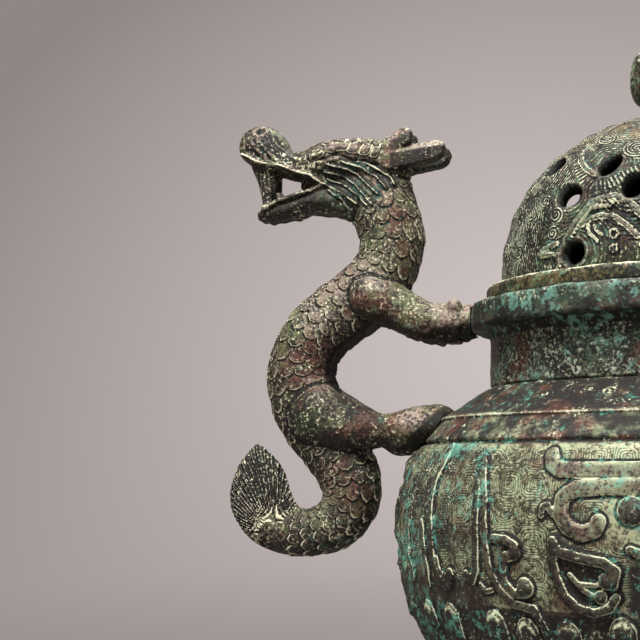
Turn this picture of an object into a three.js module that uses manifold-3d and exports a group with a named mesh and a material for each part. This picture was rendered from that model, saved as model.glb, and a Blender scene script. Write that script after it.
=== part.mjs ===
// Bronze tripod censer: a round-bellied bowl on three legs, with a riveted dragon on each side
// and a pierced dome lid that lifts off.
// Millimetres, +Z up. The origin is on the floor, on the vessel's axis. The handles lie along X.

import * as THREE from 'three';
import { mergeVertices } from 'three/addons/utils/BufferGeometryUtils.js';
import Module from 'manifold-3d';

const wasm = await Module();
wasm.setup();

// Heights of the vessel, stacked from the floor up
const groundClearance = 40;
const bellyDepth = 95;
const bellyRise = 27.5;
const grooveHeight = 2.2;
const bandHeight = 7.4;
const beadHeight = 1.4;
const shoulderRise = 10.6;
const neckHeight = 21;
const rimHeight = 9.6;
const flangeThickness = 6;

// Radii of the vessel
const bellyRadius = 103.4;
const bellyTuck = 9.2;
const grooveDepth = 2.6;
const bandSetback = 1.6;
const bandTaper = 6.4;
const beadProud = 0.6;
const neckRadius = 68.4;
const coveRadius = 4;
const rimOverhang = 7;
const rimRound = 1.2;
const flangeSetback = 5.8;
const flangeRound = 0.9;
const domeSetback = 5.6;

// Walls and fits
const bowlWall = 4.4;
const neckWall = 5;
const lidWall = 4;
const mouthLip = 2;
const spigotDepth = 5;
const lidSpigotDepth = 8;
const solderGap = 0.3;
const seatGap = 0.3;
const lidClearance = 0.6;
const rivetClearance = 0.3;
const rivetSlack = 0.4;

// Tongues of the rim, one for each handle
const tongueReach = 12;
const tongueWidth = 13;
const tongueThickness = 5;
const tongueCorner = 0.6;
const rivetAlongTongue = 0.6;

// Rivets of the handles and legs
const rivetRadius = 2;
const rivetHeadRadius = 3.3;
const rivetHeadHeight = 1.9;
const legRivetRadius = 2.6;
const legRivetHeadRadius = 4.6;
const legRivetReach = 9;
const legRivetStandOff = 1.3;
const spreadHeight = 0.8;
const spreadFoot = 0.3;

// Finial on the crown of the lid
const finialFootRadius = 8.6;
const crownLand = 0.6;
const finialWaistRadius = 6.6;
const finialBudRadius = 14.2;
const finialHeight = 32;
const finialPetals = 8;
const petalDepth = 0.9;
const petalSides = 2;
const tangRadius = 2.9;
const roveRadius = 7.4;
const roveThickness = 2;
const peenRadius = 4.2;
const peenHeight = 1.8;

// Smoke holes of the lid, as angles from a cluster's middle and from the axis, in degrees
const fullTurn = 360;
const frontAngle = -90;
const holeClusters = 2;
const holeRadius = 4.2;
const holePlaces = [[12.4, 65.4], [22.7, 56], [36, 66], [30.7, 84], [54.5, 52.8]];

// Cast relief of the belly and the lid: raised bars that are rooted in the wall.
// On the belly a point is [degrees from the middle of a mask, share of the way from the widest ring to the
// belly's top, or below 0 to its bottom]. Half a mask is given, and the front and the rear have a whole one.
// On the lid a point is [degrees from the middle of a cluster of holes, degrees from the axis].
const reliefRoot = 1.8;
const barTaper = 0.55;
const noseBar = { width: 6.4, proud: 2.6, line: [[0, 0.64], [0, 0.1], [0, -0.18]] };
const maskBars = [
  { width: 4.6, proud: 1.6, line: [[6.6, 0.52], [17.2, 0.5], [20.8, 0.3], [19, 0.06], [14.6, 0.04]] },
  { width: 3.2, proud: 2.4, line: [[11, -0.12], [14, -0.07], [21.4, -0.02], [19.4, -0.19], [12.8, -0.22]] },
  { width: 2.8, proud: 1.8, line: [[35.4, 0.16], [34.4, -0.11], [31.4, -0.2], [25.4, -0.235], [23.8, -0.36]] },
  { width: 3.6, proud: 1.6, line: [[51.2, 0.5], [50.8, 0], [48.4, -0.16]] },
];
const lidArch = { width: 3.2, proud: 1.2, line: [[36.4, 87], [30, 74.6], [20, 68.8], [10.6, 73], [0, 80.6]] };

// Legs
const legCount = 3;
const legInset = 21.4;
const legSeatInset = 8;
const firstLegAngle = Math.PI / 2;
const toeSpread = 7.4;
const toeReach = 10.6;
const toeTuck = 1.4;
const toeStations = [[-7, 8, 4, 3.6], [0, 4.6, 4.4, 3.6], [3.4, 1.4, 2.6, 2.6]];

// Fineness of the facets
const turnSteps = 30;
const bodySides = 9;
const limbSides = 6;
const hornSides = 5;
const rivetSides = 7;
const roveSides = 16;
const holeSides = 6;

// Levels that follow from the heights
const bellyLevel = groundClearance + bellyDepth;
const bellyTop = bellyLevel + bellyRise;
const bandLow = bellyTop + grooveHeight;
const bandTop = bandLow + bandHeight;
const shoulderFoot = bandTop + beadHeight;
const shoulderTop = shoulderFoot + shoulderRise;
const rimLow = shoulderTop + neckHeight;
const rimTop = rimLow + rimHeight;
const flangeLow = rimTop + seatGap;
const flangeTop = flangeLow + flangeThickness;
const bellyTopRadius = bellyRadius - bellyTuck;
const bellyUpperHeight = bellyRise / Math.sqrt(1 - (bellyTopRadius / bellyRadius) ** 2);
const bandLowRadius = bellyTopRadius - bandSetback;
const bandTopRadius = bandLowRadius - bandTaper;
const legRadius = bellyRadius - legInset;
const rimRadius = neckRadius + rimOverhang;
const flangeRadius = rimRadius - flangeSetback;
const domeRadius = flangeRadius - domeSetback;
const mouthRadius = neckRadius - mouthLip;
const boreRadius = neckRadius - neckWall;
const tongueLevel = rimLow + rimHeight / 2;

const point = (radius, height) => new THREE.Vector2(radius, height);

// Solids: a closed geometry becomes a body that can be joined and cut, and comes back as facets
function solidOf(geometry) {
  const loose = geometry.index ? geometry.toNonIndexed() : geometry;
  const bare = new THREE.BufferGeometry();
  bare.setAttribute('position', loose.getAttribute('position').clone());
  const merged = mergeVertices(bare, 1e-4);
  const kept = [];
  const corners = merged.index.array;
  for (let i = 0; i < corners.length; i += 3) {
    const [a, b, c] = [corners[i], corners[i + 1], corners[i + 2]];
    if (a !== b && b !== c && c !== a) kept.push(a, b, c);
  }
  const vertProperties = new Float32Array(merged.getAttribute('position').array);
  const bodyOf = (faces) => new wasm.Manifold(
    new wasm.Mesh({ numProp: 3, vertProperties, triVerts: new Uint32Array(faces) }));
  const solid = bodyOf(kept);
  if (solid.volume() > 0) return solid;
  const turnedOut = kept.map((_, i) => (i % 3 === 2 ? kept[i] : kept[i % 3 === 0 ? i + 1 : i - 1]));
  return bodyOf(turnedOut);
}

function geometryOf(solid) {
  const mesh = solid.getMesh();
  const stride = mesh.numProp;
  const positions = new Float32Array((mesh.vertProperties.length / stride) * 3);
  for (let i = 0; i < positions.length / 3; i++) {
    for (let k = 0; k < 3; k++) positions[i * 3 + k] = mesh.vertProperties[i * stride + k];
  }
  const geometry = new THREE.BufferGeometry();
  geometry.setAttribute('position', new THREE.BufferAttribute(positions, 3));
  geometry.setIndex([...mesh.triVerts]);
  geometry.computeVertexNormals();
  return geometry;
}

const join = (solids) => solids.reduce((whole, next) => whole.add(next));
const cut = (solid, tools) => tools.reduce((rest, tool) => rest.subtract(tool), solid);
const moved = (solid, x, y, z) => solid.translate([x, y, z]);

// A turned piece: the profile is revolved about the vertical axis
function turned(profile, steps) {
  const lathe = new THREE.LatheGeometry(profile, steps);
  lathe.rotateX(Math.PI / 2);
  return solidOf(lathe);
}

const closed = (profile) => [...profile, profile[0].clone()];

function arc(centreRadius, centreHeight, reach, rise, from, to, steps) {
  const points = [];
  for (let i = 0; i <= steps; i++) {
    const angle = from + ((to - from) * i) / steps;
    points.push(point(centreRadius + reach * Math.cos(angle), centreHeight + rise * Math.sin(angle)));
  }
  return points;
}

// A pin of the given radius along Z, from one height to another
function pin(radius, low, high, sides) {
  return turned([point(0, low), point(radius, low), point(radius, high), point(0, high)], sides);
}

// A body of oval sections strung along a smooth line. A station is [x, y, z, half thickness, half depth]:
// thickness is measured in the XZ plane, depth along Y. Rounded ends close over the last sections.
function strung(stations, sides) {
  const line = new THREE.CatmullRomCurve3(stations.map(([x, y, z]) => new THREE.Vector3(x, y, z)));
  const halves = stations.map(([, , , thick, deep]) => new THREE.Vector3(thick, deep, 0));
  const sizes = new THREE.CatmullRomCurve3(halves);
  const spans = stations.length - 1;
  const rings = [];
  for (let i = 0; i <= spans; i++) {
    const t = i / spans;
    rings.push({ centre: line.getPoint(t), along: line.getTangent(t), size: sizes.getPoint(t) });
  }
  return lofted(withRoundedEnds(rings), sides);
}

function withRoundedEnds(rings) {
  const capShare = 0.6;
  const capShrink = Math.sqrt(1 - capShare * capShare);
  const cap = (ring, way) => {
    const reach = Math.min(ring.size.x, ring.size.y) * capShare * way;
    return {
      centre: ring.centre.clone().addScaledVector(ring.along, reach),
      along: ring.along,
      size: ring.size.clone().multiplyScalar(capShrink),
    };
  };
  return [cap(rings[0], -1), ...rings, cap(rings[rings.length - 1], 1)];
}

function lofted(rings, sides) {
  const across = new THREE.Vector3(0, 1, 0);
  const positions = [];
  rings.forEach(({ centre, along, size }) => {
    const deep = across.clone().addScaledVector(along, -along.y).normalize();
    const thick = new THREE.Vector3().crossVectors(deep, along).normalize();
    for (let k = 0; k < sides; k++) {
      const angle = (2 * Math.PI * k) / sides;
      const place = centre.clone()
        .addScaledVector(thick, size.x * Math.cos(angle))
        .addScaledVector(deep, size.y * Math.sin(angle));
      positions.push(place.x, place.y, place.z);
    }
  });
  const ends = [rings[0].centre, rings[rings.length - 1].centre];
  ends.forEach((end) => positions.push(end.x, end.y, end.z));
  return solidOf(skinned(positions, rings.length, sides));
}

// Triangles over a stack of rings, with a fan over each end
function skinned(positions, ringCount, sides) {
  const corners = [];
  for (let i = 0; i + 1 < ringCount; i++) {
    for (let k = 0; k < sides; k++) {
      const here = i * sides + k;
      const next = i * sides + ((k + 1) % sides);
      corners.push(here, next, here + sides, next, next + sides, here + sides);
    }
  }
  const first = ringCount * sides;
  const last = (ringCount - 1) * sides;
  for (let k = 0; k < sides; k++) {
    corners.push(first, (k + 1) % sides, k);
    corners.push(first + 1, last + k, last + ((k + 1) % sides));
  }
  const geometry = new THREE.BufferGeometry();
  geometry.setAttribute('position', new THREE.Float32BufferAttribute(positions, 3));
  geometry.setIndex(corners);
  return geometry;
}

// Turns a solid made along +Z so that it lies along a line in the XZ plane, starting at a point of it
function laidAlong(solid, start, direction) {
  const turn = new THREE.Matrix4().makeRotationY(Math.atan2(direction.x, direction.y));
  turn.setPosition(start.x, 0, start.y);
  return solid.transform(turn.elements);
}

// A raised bar on a curved wall. A place is a foot on the wall and the way out of it.
function bar(places, width, proud) {
  const positions = [];
  const last = places.length - 1;
  const section = [[-1, -reliefRoot], [1, -reliefRoot], [barTaper, proud], [-barTaper, proud]];
  places.forEach(({ foot, way }, i) => {
    const along = places[Math.min(i + 1, last)].foot.clone().sub(places[Math.max(i - 1, 0)].foot);
    const side = along.cross(way).normalize();
    section.forEach(([aside, out]) => {
      const corner = foot.clone().addScaledVector(side, (aside * width) / 2).addScaledVector(way, out);
      positions.push(corner.x, corner.y, corner.z);
    });
  });
  [places[0].foot, places[last].foot].forEach((end) => positions.push(end.x, end.y, end.z));
  return solidOf(skinned(positions, places.length, section.length));
}

// Bowl
// The outline runs from the axis under the bowl up to the edge of the mouth. A positive offset gives
// the outline of the room that neighbouring pieces keep clear of.
function bowlOutline(offset) {
  const topAngle = Math.asin(bellyRise / bellyUpperHeight);
  const wide = bellyRadius + offset;
  const lower = arc(0, bellyLevel, wide, bellyDepth + offset, -Math.PI / 2, 0, 7);
  const upper = arc(0, bellyLevel, wide, bellyUpperHeight + offset, topAngle / 4, topAngle, 3);
  const grooveLevel = bellyTop + grooveHeight / 2;
  lower[0].x = 0;
  return [
    ...lower,
    ...upper,
    point(bellyTopRadius - grooveDepth + offset, grooveLevel),
    point(bandLowRadius + offset, bandLow),
    point(bandTopRadius + offset, bandTop),
    point(bandTopRadius + beadProud + offset, bandTop + beadHeight / 2),
    point(bandTopRadius - beadProud + offset, shoulderFoot),
    point(neckRadius + offset, shoulderTop),
  ];
}

function bowlInside() {
  const inward = shoulderSeat().way.multiplyScalar(-bowlWall);
  const underBand = point(bandLowRadius, bandLow).add(inward);
  const underBead = point(bandTopRadius, bandTop).add(inward);
  const rise = underBand.y - bellyLevel;
  const insideRadius = bellyRadius - bowlWall;
  const upperHeight = rise / Math.sqrt(1 - (underBand.x / insideRadius) ** 2);
  const topAngle = Math.asin(rise / upperHeight);
  const lower = arc(0, bellyLevel, insideRadius, bellyDepth - bowlWall, 0, -Math.PI / 2, 6);
  lower[lower.length - 1].x = 0;
  return [
    point(mouthRadius, shoulderTop),
    point(mouthRadius, shoulderTop - spigotDepth - solderGap),
    underBead,
    ...arc(0, bellyLevel, insideRadius, upperHeight, topAngle, topAngle / 2, 1),
    ...lower,
  ];
}

const bowlRoom = (offset) => turned([...bowlOutline(offset), point(0, shoulderTop)], turnSteps);

// Places where rivets pass the bowl's wall, each a point of the outline and the way out of it
function shoulderSeat() {
  const foot = new THREE.Vector2((bandLowRadius + bandTopRadius) / 2, (bandLow + bandTop) / 2);
  const along = new THREE.Vector2(bandTopRadius - bandLowRadius, bandHeight).normalize();
  return { foot, way: new THREE.Vector2(along.y, -along.x) };
}

function legSeat() {
  const share = (legRadius - legSeatInset) / bellyRadius;
  const drop = Math.sqrt(1 - share * share);
  const foot = new THREE.Vector2(share * bellyRadius, bellyLevel - drop * bellyDepth);
  const way = new THREE.Vector2(share / bellyRadius, -drop / bellyDepth).normalize();
  return { foot, way };
}

function rivetPassage(seat, radius) {
  const reach = bowlWall * 4;
  return laidAlong(pin(radius, -reach, reach, rivetSides), seat.foot, seat.way);
}

const turnedAbout = (solid, angle) => solid.rotate([0, 0, THREE.MathUtils.radToDeg(angle)]);
const legAngles = Array.from({ length: legCount }, (_, i) => firstLegAngle + (2 * Math.PI * i) / legCount);

// A place of the belly's surface, by its angle about the axis and its share of the belly's height
function bellyPlace(angle, share) {
  const up = share * (share > 0 ? bellyRise : bellyDepth);
  const tall = share > 0 ? bellyUpperHeight : bellyDepth;
  const radius = bellyRadius * Math.sqrt(1 - (up / tall) ** 2);
  const turn = THREE.MathUtils.degToRad(angle);
  const about = (out, level) => new THREE.Vector3(out * Math.cos(turn), out * Math.sin(turn), level);
  return {
    foot: about(radius, bellyLevel + up),
    way: about(radius / bellyRadius ** 2, up / tall ** 2).normalize(),
  };
}

function bellyRelief() {
  const bars = [];
  [frontAngle, frontAngle + fullTurn / 2].forEach((middle) => {
    const place = (mirror) => ([aside, share]) => bellyPlace(middle + mirror * aside, share);
    bars.push(bar(noseBar.line.map(place(1)), noseBar.width, noseBar.proud));
    [-1, 1].forEach((mirror) => {
      maskBars.forEach(({ width, proud, line }) => bars.push(bar(line.map(place(mirror)), width, proud)));
    });
  });
  return bars;
}

function makeBowl() {
  const plain = turned([...bowlOutline(0), ...bowlInside()], turnSteps);
  const shell = join([plain, ...bellyRelief()]);
  const shoulderHole = rivetPassage(shoulderSeat(), rivetRadius + rivetClearance);
  const legHole = rivetPassage(legSeat(), legRivetRadius + rivetClearance);
  const holes = [0, Math.PI].map((angle) => turnedAbout(shoulderHole, angle));
  legAngles.forEach((angle) => holes.push(turnedAbout(legHole, angle)));
  return cut(shell, holes);
}

// Neck with the rim and its two tongues
function neckOutline(offset) {
  const coveTop = rimLow - offset;
  const coveCentre = neckRadius + coveRadius + offset;
  const cove = arc(coveCentre, coveTop - coveRadius, coveRadius, coveRadius, Math.PI * 0.8, Math.PI / 2, 3);
  return [
    point(neckRadius + offset, shoulderTop + solderGap),
    point(neckRadius + offset, coveTop - coveRadius),
    ...cove,
    point(rimRadius - rimRound + offset, coveTop),
    point(rimRadius + offset, coveTop + rimRound),
    point(rimRadius + offset, rimTop - rimRound + offset),
    point(rimRadius - rimRound + offset, rimTop + offset),
  ];
}

function tongueShape(margin) {
  const half = tongueWidth / 2 + margin;
  const tip = rimRadius + tongueReach + margin;
  const corner = half * tongueCorner;
  const shape = new THREE.Shape();
  shape.moveTo(neckRadius, -half);
  shape.lineTo(tip - corner, -half);
  shape.quadraticCurveTo(tip, -half, tip, 0);
  shape.quadraticCurveTo(tip, half, tip - corner, half);
  shape.lineTo(neckRadius, half);
  shape.closePath();
  const depth = tongueThickness + 2 * margin;
  const slab = new THREE.ExtrudeGeometry(shape, { depth, bevelEnabled: false, curveSegments: 4 });
  slab.translate(0, 0, tongueLevel - depth / 2);
  return solidOf(slab);
}

const rimRivetRadius = rimRadius + tongueReach * rivetAlongTongue;

function makeNeck() {
  const spigotRadius = mouthRadius - solderGap;
  const ring = turned(closed([
    point(boreRadius, shoulderTop - spigotDepth),
    point(spigotRadius, shoulderTop - spigotDepth),
    point(spigotRadius, shoulderTop + solderGap),
    ...neckOutline(0),
    point(boreRadius, rimTop),
  ]), turnSteps);
  const bore = pin(boreRadius, shoulderTop - 2 * spigotDepth, rimTop + rimHeight, turnSteps);
  const hole = moved(pin(rivetRadius + rivetClearance, rimLow - rimHeight, rimTop + rimHeight, rivetSides),
    rimRivetRadius, 0, 0);
  const tongue = cut(tongueShape(0), [bore, hole]);
  return join([ring, tongue, turnedAbout(tongue, Math.PI)]);
}

// Lid
const crownRadius = finialFootRadius + crownLand;
const crownLevel = flangeTop + Math.sqrt(domeRadius ** 2 - crownRadius ** 2);
const insideDome = domeRadius - lidWall;
const crownInside = flangeTop + Math.sqrt(insideDome ** 2 - roveRadius ** 2);

function makeLid() {
  const spigotRadius = boreRadius - lidClearance;
  const holeEdge = tangRadius + rivetClearance;
  const crownAngle = Math.acos(crownRadius / domeRadius);
  const insideAngle = Math.acos(roveRadius / insideDome);
  const shell = turned(closed([
    point(spigotRadius, flangeLow - lidSpigotDepth),
    point(spigotRadius, flangeLow),
    point(flangeRadius - flangeRound, flangeLow),
    point(flangeRadius, flangeLow + flangeRound),
    point(flangeRadius, flangeTop - flangeRound),
    point(flangeRadius - flangeRound, flangeTop),
    ...arc(0, flangeTop, domeRadius, domeRadius, 0, crownAngle, 7),
    point(holeEdge, crownLevel),
    point(holeEdge, crownInside),
    ...arc(0, flangeTop, insideDome, insideDome, insideAngle, 0, 5),
    point(insideDome, flangeLow - lidSpigotDepth),
  ]), turnSteps);
  return cut(join([shell, ...lidRelief()]), smokeHoles());
}

// A place of the dome's surface, by its angle about the axis and its lean from it
function domePlace(angle, fromAxis) {
  const turn = THREE.MathUtils.degToRad(angle);
  const lean = THREE.MathUtils.degToRad(fromAxis);
  const flat = Math.sin(lean);
  const way = new THREE.Vector3(flat * Math.cos(turn), flat * Math.sin(turn), Math.cos(lean));
  const foot = way.clone().multiplyScalar(domeRadius);
  foot.z += flangeTop;
  return { foot, way };
}

const clusterTurn = fullTurn / holeClusters;
const clusterAngles = Array.from({ length: holeClusters }, (_, i) => frontAngle + i * clusterTurn);

// Each cluster of holes has an arch under it, and its two halves meet in a dip at the cluster's middle
function lidRelief() {
  const mirrored = lidArch.line.slice(0, -1).reverse().map(([aside, fromAxis]) => [-aside, fromAxis]);
  const whole = [...lidArch.line, ...mirrored];
  return clusterAngles.map((middle) => {
    const places = whole.map(([aside, fromAxis]) => domePlace(middle + aside, fromAxis));
    return bar(places, lidArch.width, lidArch.proud);
  });
}

function smokeHoles() {
  const bit = pin(holeRadius, insideDome - lidWall, domeRadius + lidWall, holeSides);
  const holes = [];
  clusterAngles.forEach((middle) => {
    holePlaces.forEach(([aside, fromAxis]) => {
      [-aside, aside].forEach((turn) => {
        holes.push(moved(bit.rotate([0, fromAxis, 0]).rotate([0, 0, middle + turn]), 0, 0, flangeTop));
      });
    });
  });
  return holes;
}

// Finial: a bud with lobed petals on a waisted stem, with a tang that passes the crown
function makeFinial() {
  const foot = crownLevel + seatGap;
  const sides = finialPetals * petalSides;
  const budSections = [
    [0, finialFootRadius, 0], [0.06, finialFootRadius * 0.92, 0], [0.11, finialWaistRadius, 0],
    [0.2, finialBudRadius * 0.84, 1], [0.31, finialBudRadius * 0.97, 1], [0.45, finialBudRadius, 1],
    [0.64, finialBudRadius * 0.95, 0.9], [0.8, finialBudRadius * 0.76, 0.6],
    [0.93, finialBudRadius * 0.42, 0.3], [1, finialBudRadius * 0.08, 0],
  ];
  const positions = [];
  budSections.forEach(([share, radius, lobed]) => {
    for (let k = 0; k < sides; k++) {
      const angle = (2 * Math.PI * k) / sides;
      const lobe = radius - petalDepth * lobed * (k % petalSides === 0 ? 1 : 0);
      positions.push(lobe * Math.cos(angle), lobe * Math.sin(angle), foot + share * finialHeight);
    }
  });
  positions.push(0, 0, foot, 0, 0, foot + finialHeight);
  const bud = solidOf(skinned(positions, budSections.length, sides));
  const roveLow = roveTop() - roveThickness;
  const tang = pin(tangRadius, roveLow - seatGap - peenHeight / 2, foot + 1, rivetSides);
  const peen = pin(peenRadius, roveLow - seatGap - peenHeight, roveLow - seatGap, rivetSides);
  return join([bud, tang, peen]);
}

const roveTop = () => crownInside - seatGap;

function makeRove() {
  const inner = tangRadius + rivetClearance;
  const low = roveTop() - roveThickness;
  return turned(closed([point(inner, low), point(roveRadius, low), point(roveRadius - 0.4, roveTop()),
    point(inner, roveTop())]), roveSides);
}

// Rivets of the handles: a domed head outside, the other end spread flat
function handleRivet(length) {
  const under = length + seatGap;
  const spread = -seatGap;
  return turned([
    point(0, spread - rivetHeadHeight * spreadHeight),
    point(rivetHeadRadius * spreadHeight, spread - rivetHeadHeight * spreadHeight),
    point(rivetHeadRadius, spread - rivetHeadHeight * spreadFoot),
    point(rivetHeadRadius, spread),
    point(rivetRadius, spread),
    point(rivetRadius, under),
    ...arc(0, under, rivetHeadRadius, rivetHeadHeight, 0, Math.PI / 2, 4).slice(0, -1),
    point(0, under + rivetHeadHeight),
  ], rivetSides);
}

// Dragon handles
// Places are given as [out, up]: outwards from the widest ring of the belly, up from the neck's foot.
const handlePlace = (out, up) => [bellyRadius + out, shoulderTop + up];

const spineStations = [
  [8.6, 76, 12, 11.5], [4, 63.4, 12.6, 12], [3.4, 56, 12.6, 12], [7, 45.5, 13, 12], [17.3, 35, 13.2, 12],
  [28.7, 27, 13.3, 12.3], [36.2, 18.5, 13.6, 12.6], [39.7, 8, 14, 12.8], [37.8, -3, 14.3, 12.8],
  [34.1, -11, 14, 12.6], [28.4, -19, 13.2, 12], [22.8, -28, 12.3, 11.4], [20, -36.5, 11.6, 10.8],
  [21.4, -44.5, 11, 10], [27, -50.8, 10.5, 9.4], [36, -54, 9.4, 8.4], [45, -53.4, 9.6, 7.2],
  [52.4, -48.8, 11.2, 6.4], [56.8, -42, 12.6, 6], [57.6, -34, 10.8, 5], [58.2, -27, 6.2, 3.6],
  [58.6, -21.4, 1.4, 1.6],
];
const skullStations = [
  [3, 87, 7, 8], [11, 90.6, 9, 11.2], [20, 91, 9.4, 12.2], [29, 91, 9.2, 11.6], [36, 90.4, 6.8, 10],
  [42, 90.7, 5.8, 9.2], [48, 93, 6.6, 8.8], [53.6, 97.6, 8.8, 9], [58, 99.8, 8.2, 8.4], [61.4, 98, 4.6, 5.6],
];
const jawStations = [
  [18, 77, 9.6, 11], [29, 75.2, 6, 10.4], [36, 74.5, 4, 9.4], [43, 73.1, 4, 8.4], [50, 71.6, 3.4, 7.4],
  [54.8, 71, 2.7, 5.6],
];
const hornStations = [
  [7, 90.4, 4.4, 3.8], [-3, 90.2, 4.9, 3.8], [-10.4, 91.4, 4.4, 3.3], [-16, 92.4, 3.4, 2.6],
  [-18.4, 92.8, 1.7, 1.6],
];
const earStations = [[7, 95, 4.2, 3], [1, 98.4, 3.6, 2.6], [-2.8, 99.9, 2.2, 1.8]];
const fangStations = [[53.4, 91, 4.6, 3.2], [52.4, 85, 3.8, 2.9], [52, 80, 3.2, 2.5], [52.2, 74, 2.2, 2]];
const thighStations = [
  [31, -9, 11.4, 8], [21, -13, 9.6, 7.4], [12.6, -14.6, 7.2, 6.2], [4, -14.2, 5.6, 5.2],
];
const shoulderStations = [[10, 36, 8.6, 7], [0, 32, 7.8, 6.4], [-9.6, 27.2, 7, 6]];
const limbSpread = { shoulder: 8.4, thigh: 8.6, paw: 6.4 };
const headSpread = { horn: 6.4, ear: 8.6, fang: 4.2 };
const forepawSize = {
  thick: 7.4, deep: 12.4, wrist: 4, inset: 5, limbThick: 6.6, limbDeep: 5.6, bite: 1.2,
};
const hindpawSize = {
  thick: 7.6, deep: 12.2, wrist: 14, inset: 5, limbThick: 6, limbDeep: 5.4, lift: 1.8,
};

const onPlane = (stations) => stations.map(([out, up, thick, deep]) => {
  const [x, z] = handlePlace(out, up);
  return [x, 0, z, thick, deep];
});

// The same stations moved aside, once to each side, for what the dragon has in pairs
function pair(stations, aside, ends, sides) {
  return [-1, 1].map((side) => {
    const placed = onPlane(stations).map(([x, , z, thick, deep]) => [x, side * aside, z, thick, deep]);
    return strung([...placed, ...ends(side)], sides);
  });
}

const alone = () => [];

// The forepaws close over the tongue of the rim, and the hind paws press on the shoulder band
function pawStations(from, to, size) {
  const grow = [[0, 0.72], [0.45, 1], [1, 0.96]];
  return grow.map(([share, scale]) => [
    from.x + (to.x - from.x) * share, 0, from.y + (to.y - from.y) * share,
    size.thick * scale, size.deep * scale]);
}

function makeHandle() {
  const seat = shoulderSeat();
  const rimGrip = { x: rimRadius, y: tongueLevel };
  const rimWrist = { x: rimRadius + tongueReach + forepawSize.wrist, y: tongueLevel };
  const bandGrip = { x: seat.foot.x, y: seat.foot.y + hindpawSize.lift };
  const bandWrist = { x: seat.foot.x + hindpawSize.wrist, y: seat.foot.y + hindpawSize.lift };
  const intoPaw = (wrist, size) => (side) => [
    [wrist.x - size.inset, side * limbSpread.paw, wrist.y, size.limbThick, size.limbDeep]];
  const reachRim = intoPaw(rimWrist, forepawSize);
  const reachBand = intoPaw(bandWrist, hindpawSize);
  const pieces = [
    strung(onPlane(spineStations), bodySides),
    strung(onPlane(skullStations), bodySides),
    strung(onPlane(jawStations), limbSides),
    ...pair(hornStations, headSpread.horn, alone, hornSides),
    ...pair(earStations, headSpread.ear, alone, hornSides),
    ...pair(fangStations, headSpread.fang, alone, hornSides),
    ...pair(shoulderStations, limbSpread.shoulder, reachRim, limbSides),
    ...pair(thighStations, limbSpread.thigh, reachBand, limbSides),
    strung(pawStations(rimWrist, rimGrip, forepawSize), limbSides),
    strung(pawStations(bandWrist, bandGrip, hindpawSize), limbSides),
  ];
  return cut(join(pieces), handleCuts(seat));
}

// Where the rivets of a handle sit: the length between the seats of their two ends
const rimRivetLow = tongueLevel - forepawSize.thick + forepawSize.bite;
const rimRivetLength = 2 * (forepawSize.thick - forepawSize.bite);
const shoulderRivetLow = -(bowlWall + rivetSlack);
const shoulderRivetLength = bowlWall + rivetSlack + hindpawSize.thick;

function handleCuts(seat) {
  const wide = rivetHeadRadius + rivetClearance;
  const far = 4 * rivetHeadRadius;
  const rimHigh = rimRivetLow + rimRivetLength;
  const bandHigh = shoulderRivetLow + shoulderRivetLength;
  const rimTools = [
    pin(rivetRadius + rivetClearance, rimRivetLow - far, rimHigh + far, rivetSides),
    pin(wide, rimHigh, rimHigh + far, rivetSides),
    pin(wide, rimRivetLow - far, rimRivetLow, rivetSides),
  ].map((tool) => moved(tool, rimRivetRadius, 0, 0));
  const bandTools = [
    pin(rivetRadius + rivetClearance, shoulderRivetLow - far, bandHigh + far, rivetSides),
    pin(wide, bandHigh, bandHigh + far, rivetSides),
  ].map((tool) => laidAlong(tool, seat.foot, seat.way));
  const rimRoom = turned([
    point(0, shoulderTop), ...neckOutline(solderGap), point(0, rimTop + solderGap)], turnSteps);
  return [bowlRoom(solderGap), rimRoom, tongueShape(rivetClearance), ...rimTools, ...bandTools];
}

function makeRimRivet() {
  return moved(handleRivet(rimRivetLength), rimRivetRadius, 0, rimRivetLow);
}

function makeShoulderRivet() {
  const seat = shoulderSeat();
  const rivet = moved(handleRivet(shoulderRivetLength), 0, 0, shoulderRivetLow);
  return laidAlong(rivet, seat.foot, seat.way);
}

// Legs: a swelling hip under the belly, an S-curved shin and a clawed paw with a flat sole
// Stations are [out, up, half thickness, half depth], out from the leg's middle line. The hip is measured
// up from its seat on the bowl, the paw up from the floor.
const hipStations = [
  [-4, 10, 10, 14], [0, -3, 14.6, 18], [2.4, -16, 13.2, 15.6], [2.6, -29.4, 10.4, 11.8],
];
const pawFootStations = [
  [-1, 24.8, 8.6, 9.6], [-2, 14, 8.8, 9.8], [-0.6, 6, 10.8, 11.8], [0, -4, 11.6, 12.6],
];

function makeLeg() {
  const seat = legSeat();
  const above = (level) => ([out, up, thick, deep]) => [legRadius + out, 0, level + up, thick, deep];
  const stations = [...hipStations.map(above(seat.foot.y)), ...pawFootStations.map(above(0))];
  const shank = strung(stations, bodySides);
  const toes = [-1, 0, 1].map((side) => {
    const tip = legRadius + toeReach - Math.abs(side) * toeTuck;
    const along = side * toeSpread;
    const placed = toeStations.map(([out, up, thick, deep]) => [tip + out, along, up, thick, deep]);
    return strung(placed, hornSides);
  });
  const floorCut = turned([point(0, -groundClearance), point(2 * bellyRadius, -groundClearance),
    point(2 * bellyRadius, 0), point(0, 0)], turnSteps);
  const socketTop = legRivetReach + rivetClearance;
  const socketBit = pin(legRivetRadius + rivetClearance, -legRivetReach, socketTop, rivetSides);
  const socket = laidAlong(socketBit, seat.foot, seat.way);
  const underBowl = turnedAbout(bowlRoom(solderGap), -firstLegAngle);
  return cut(join([shank, ...toes]), [floorCut, underBowl, socket]);
}

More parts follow.
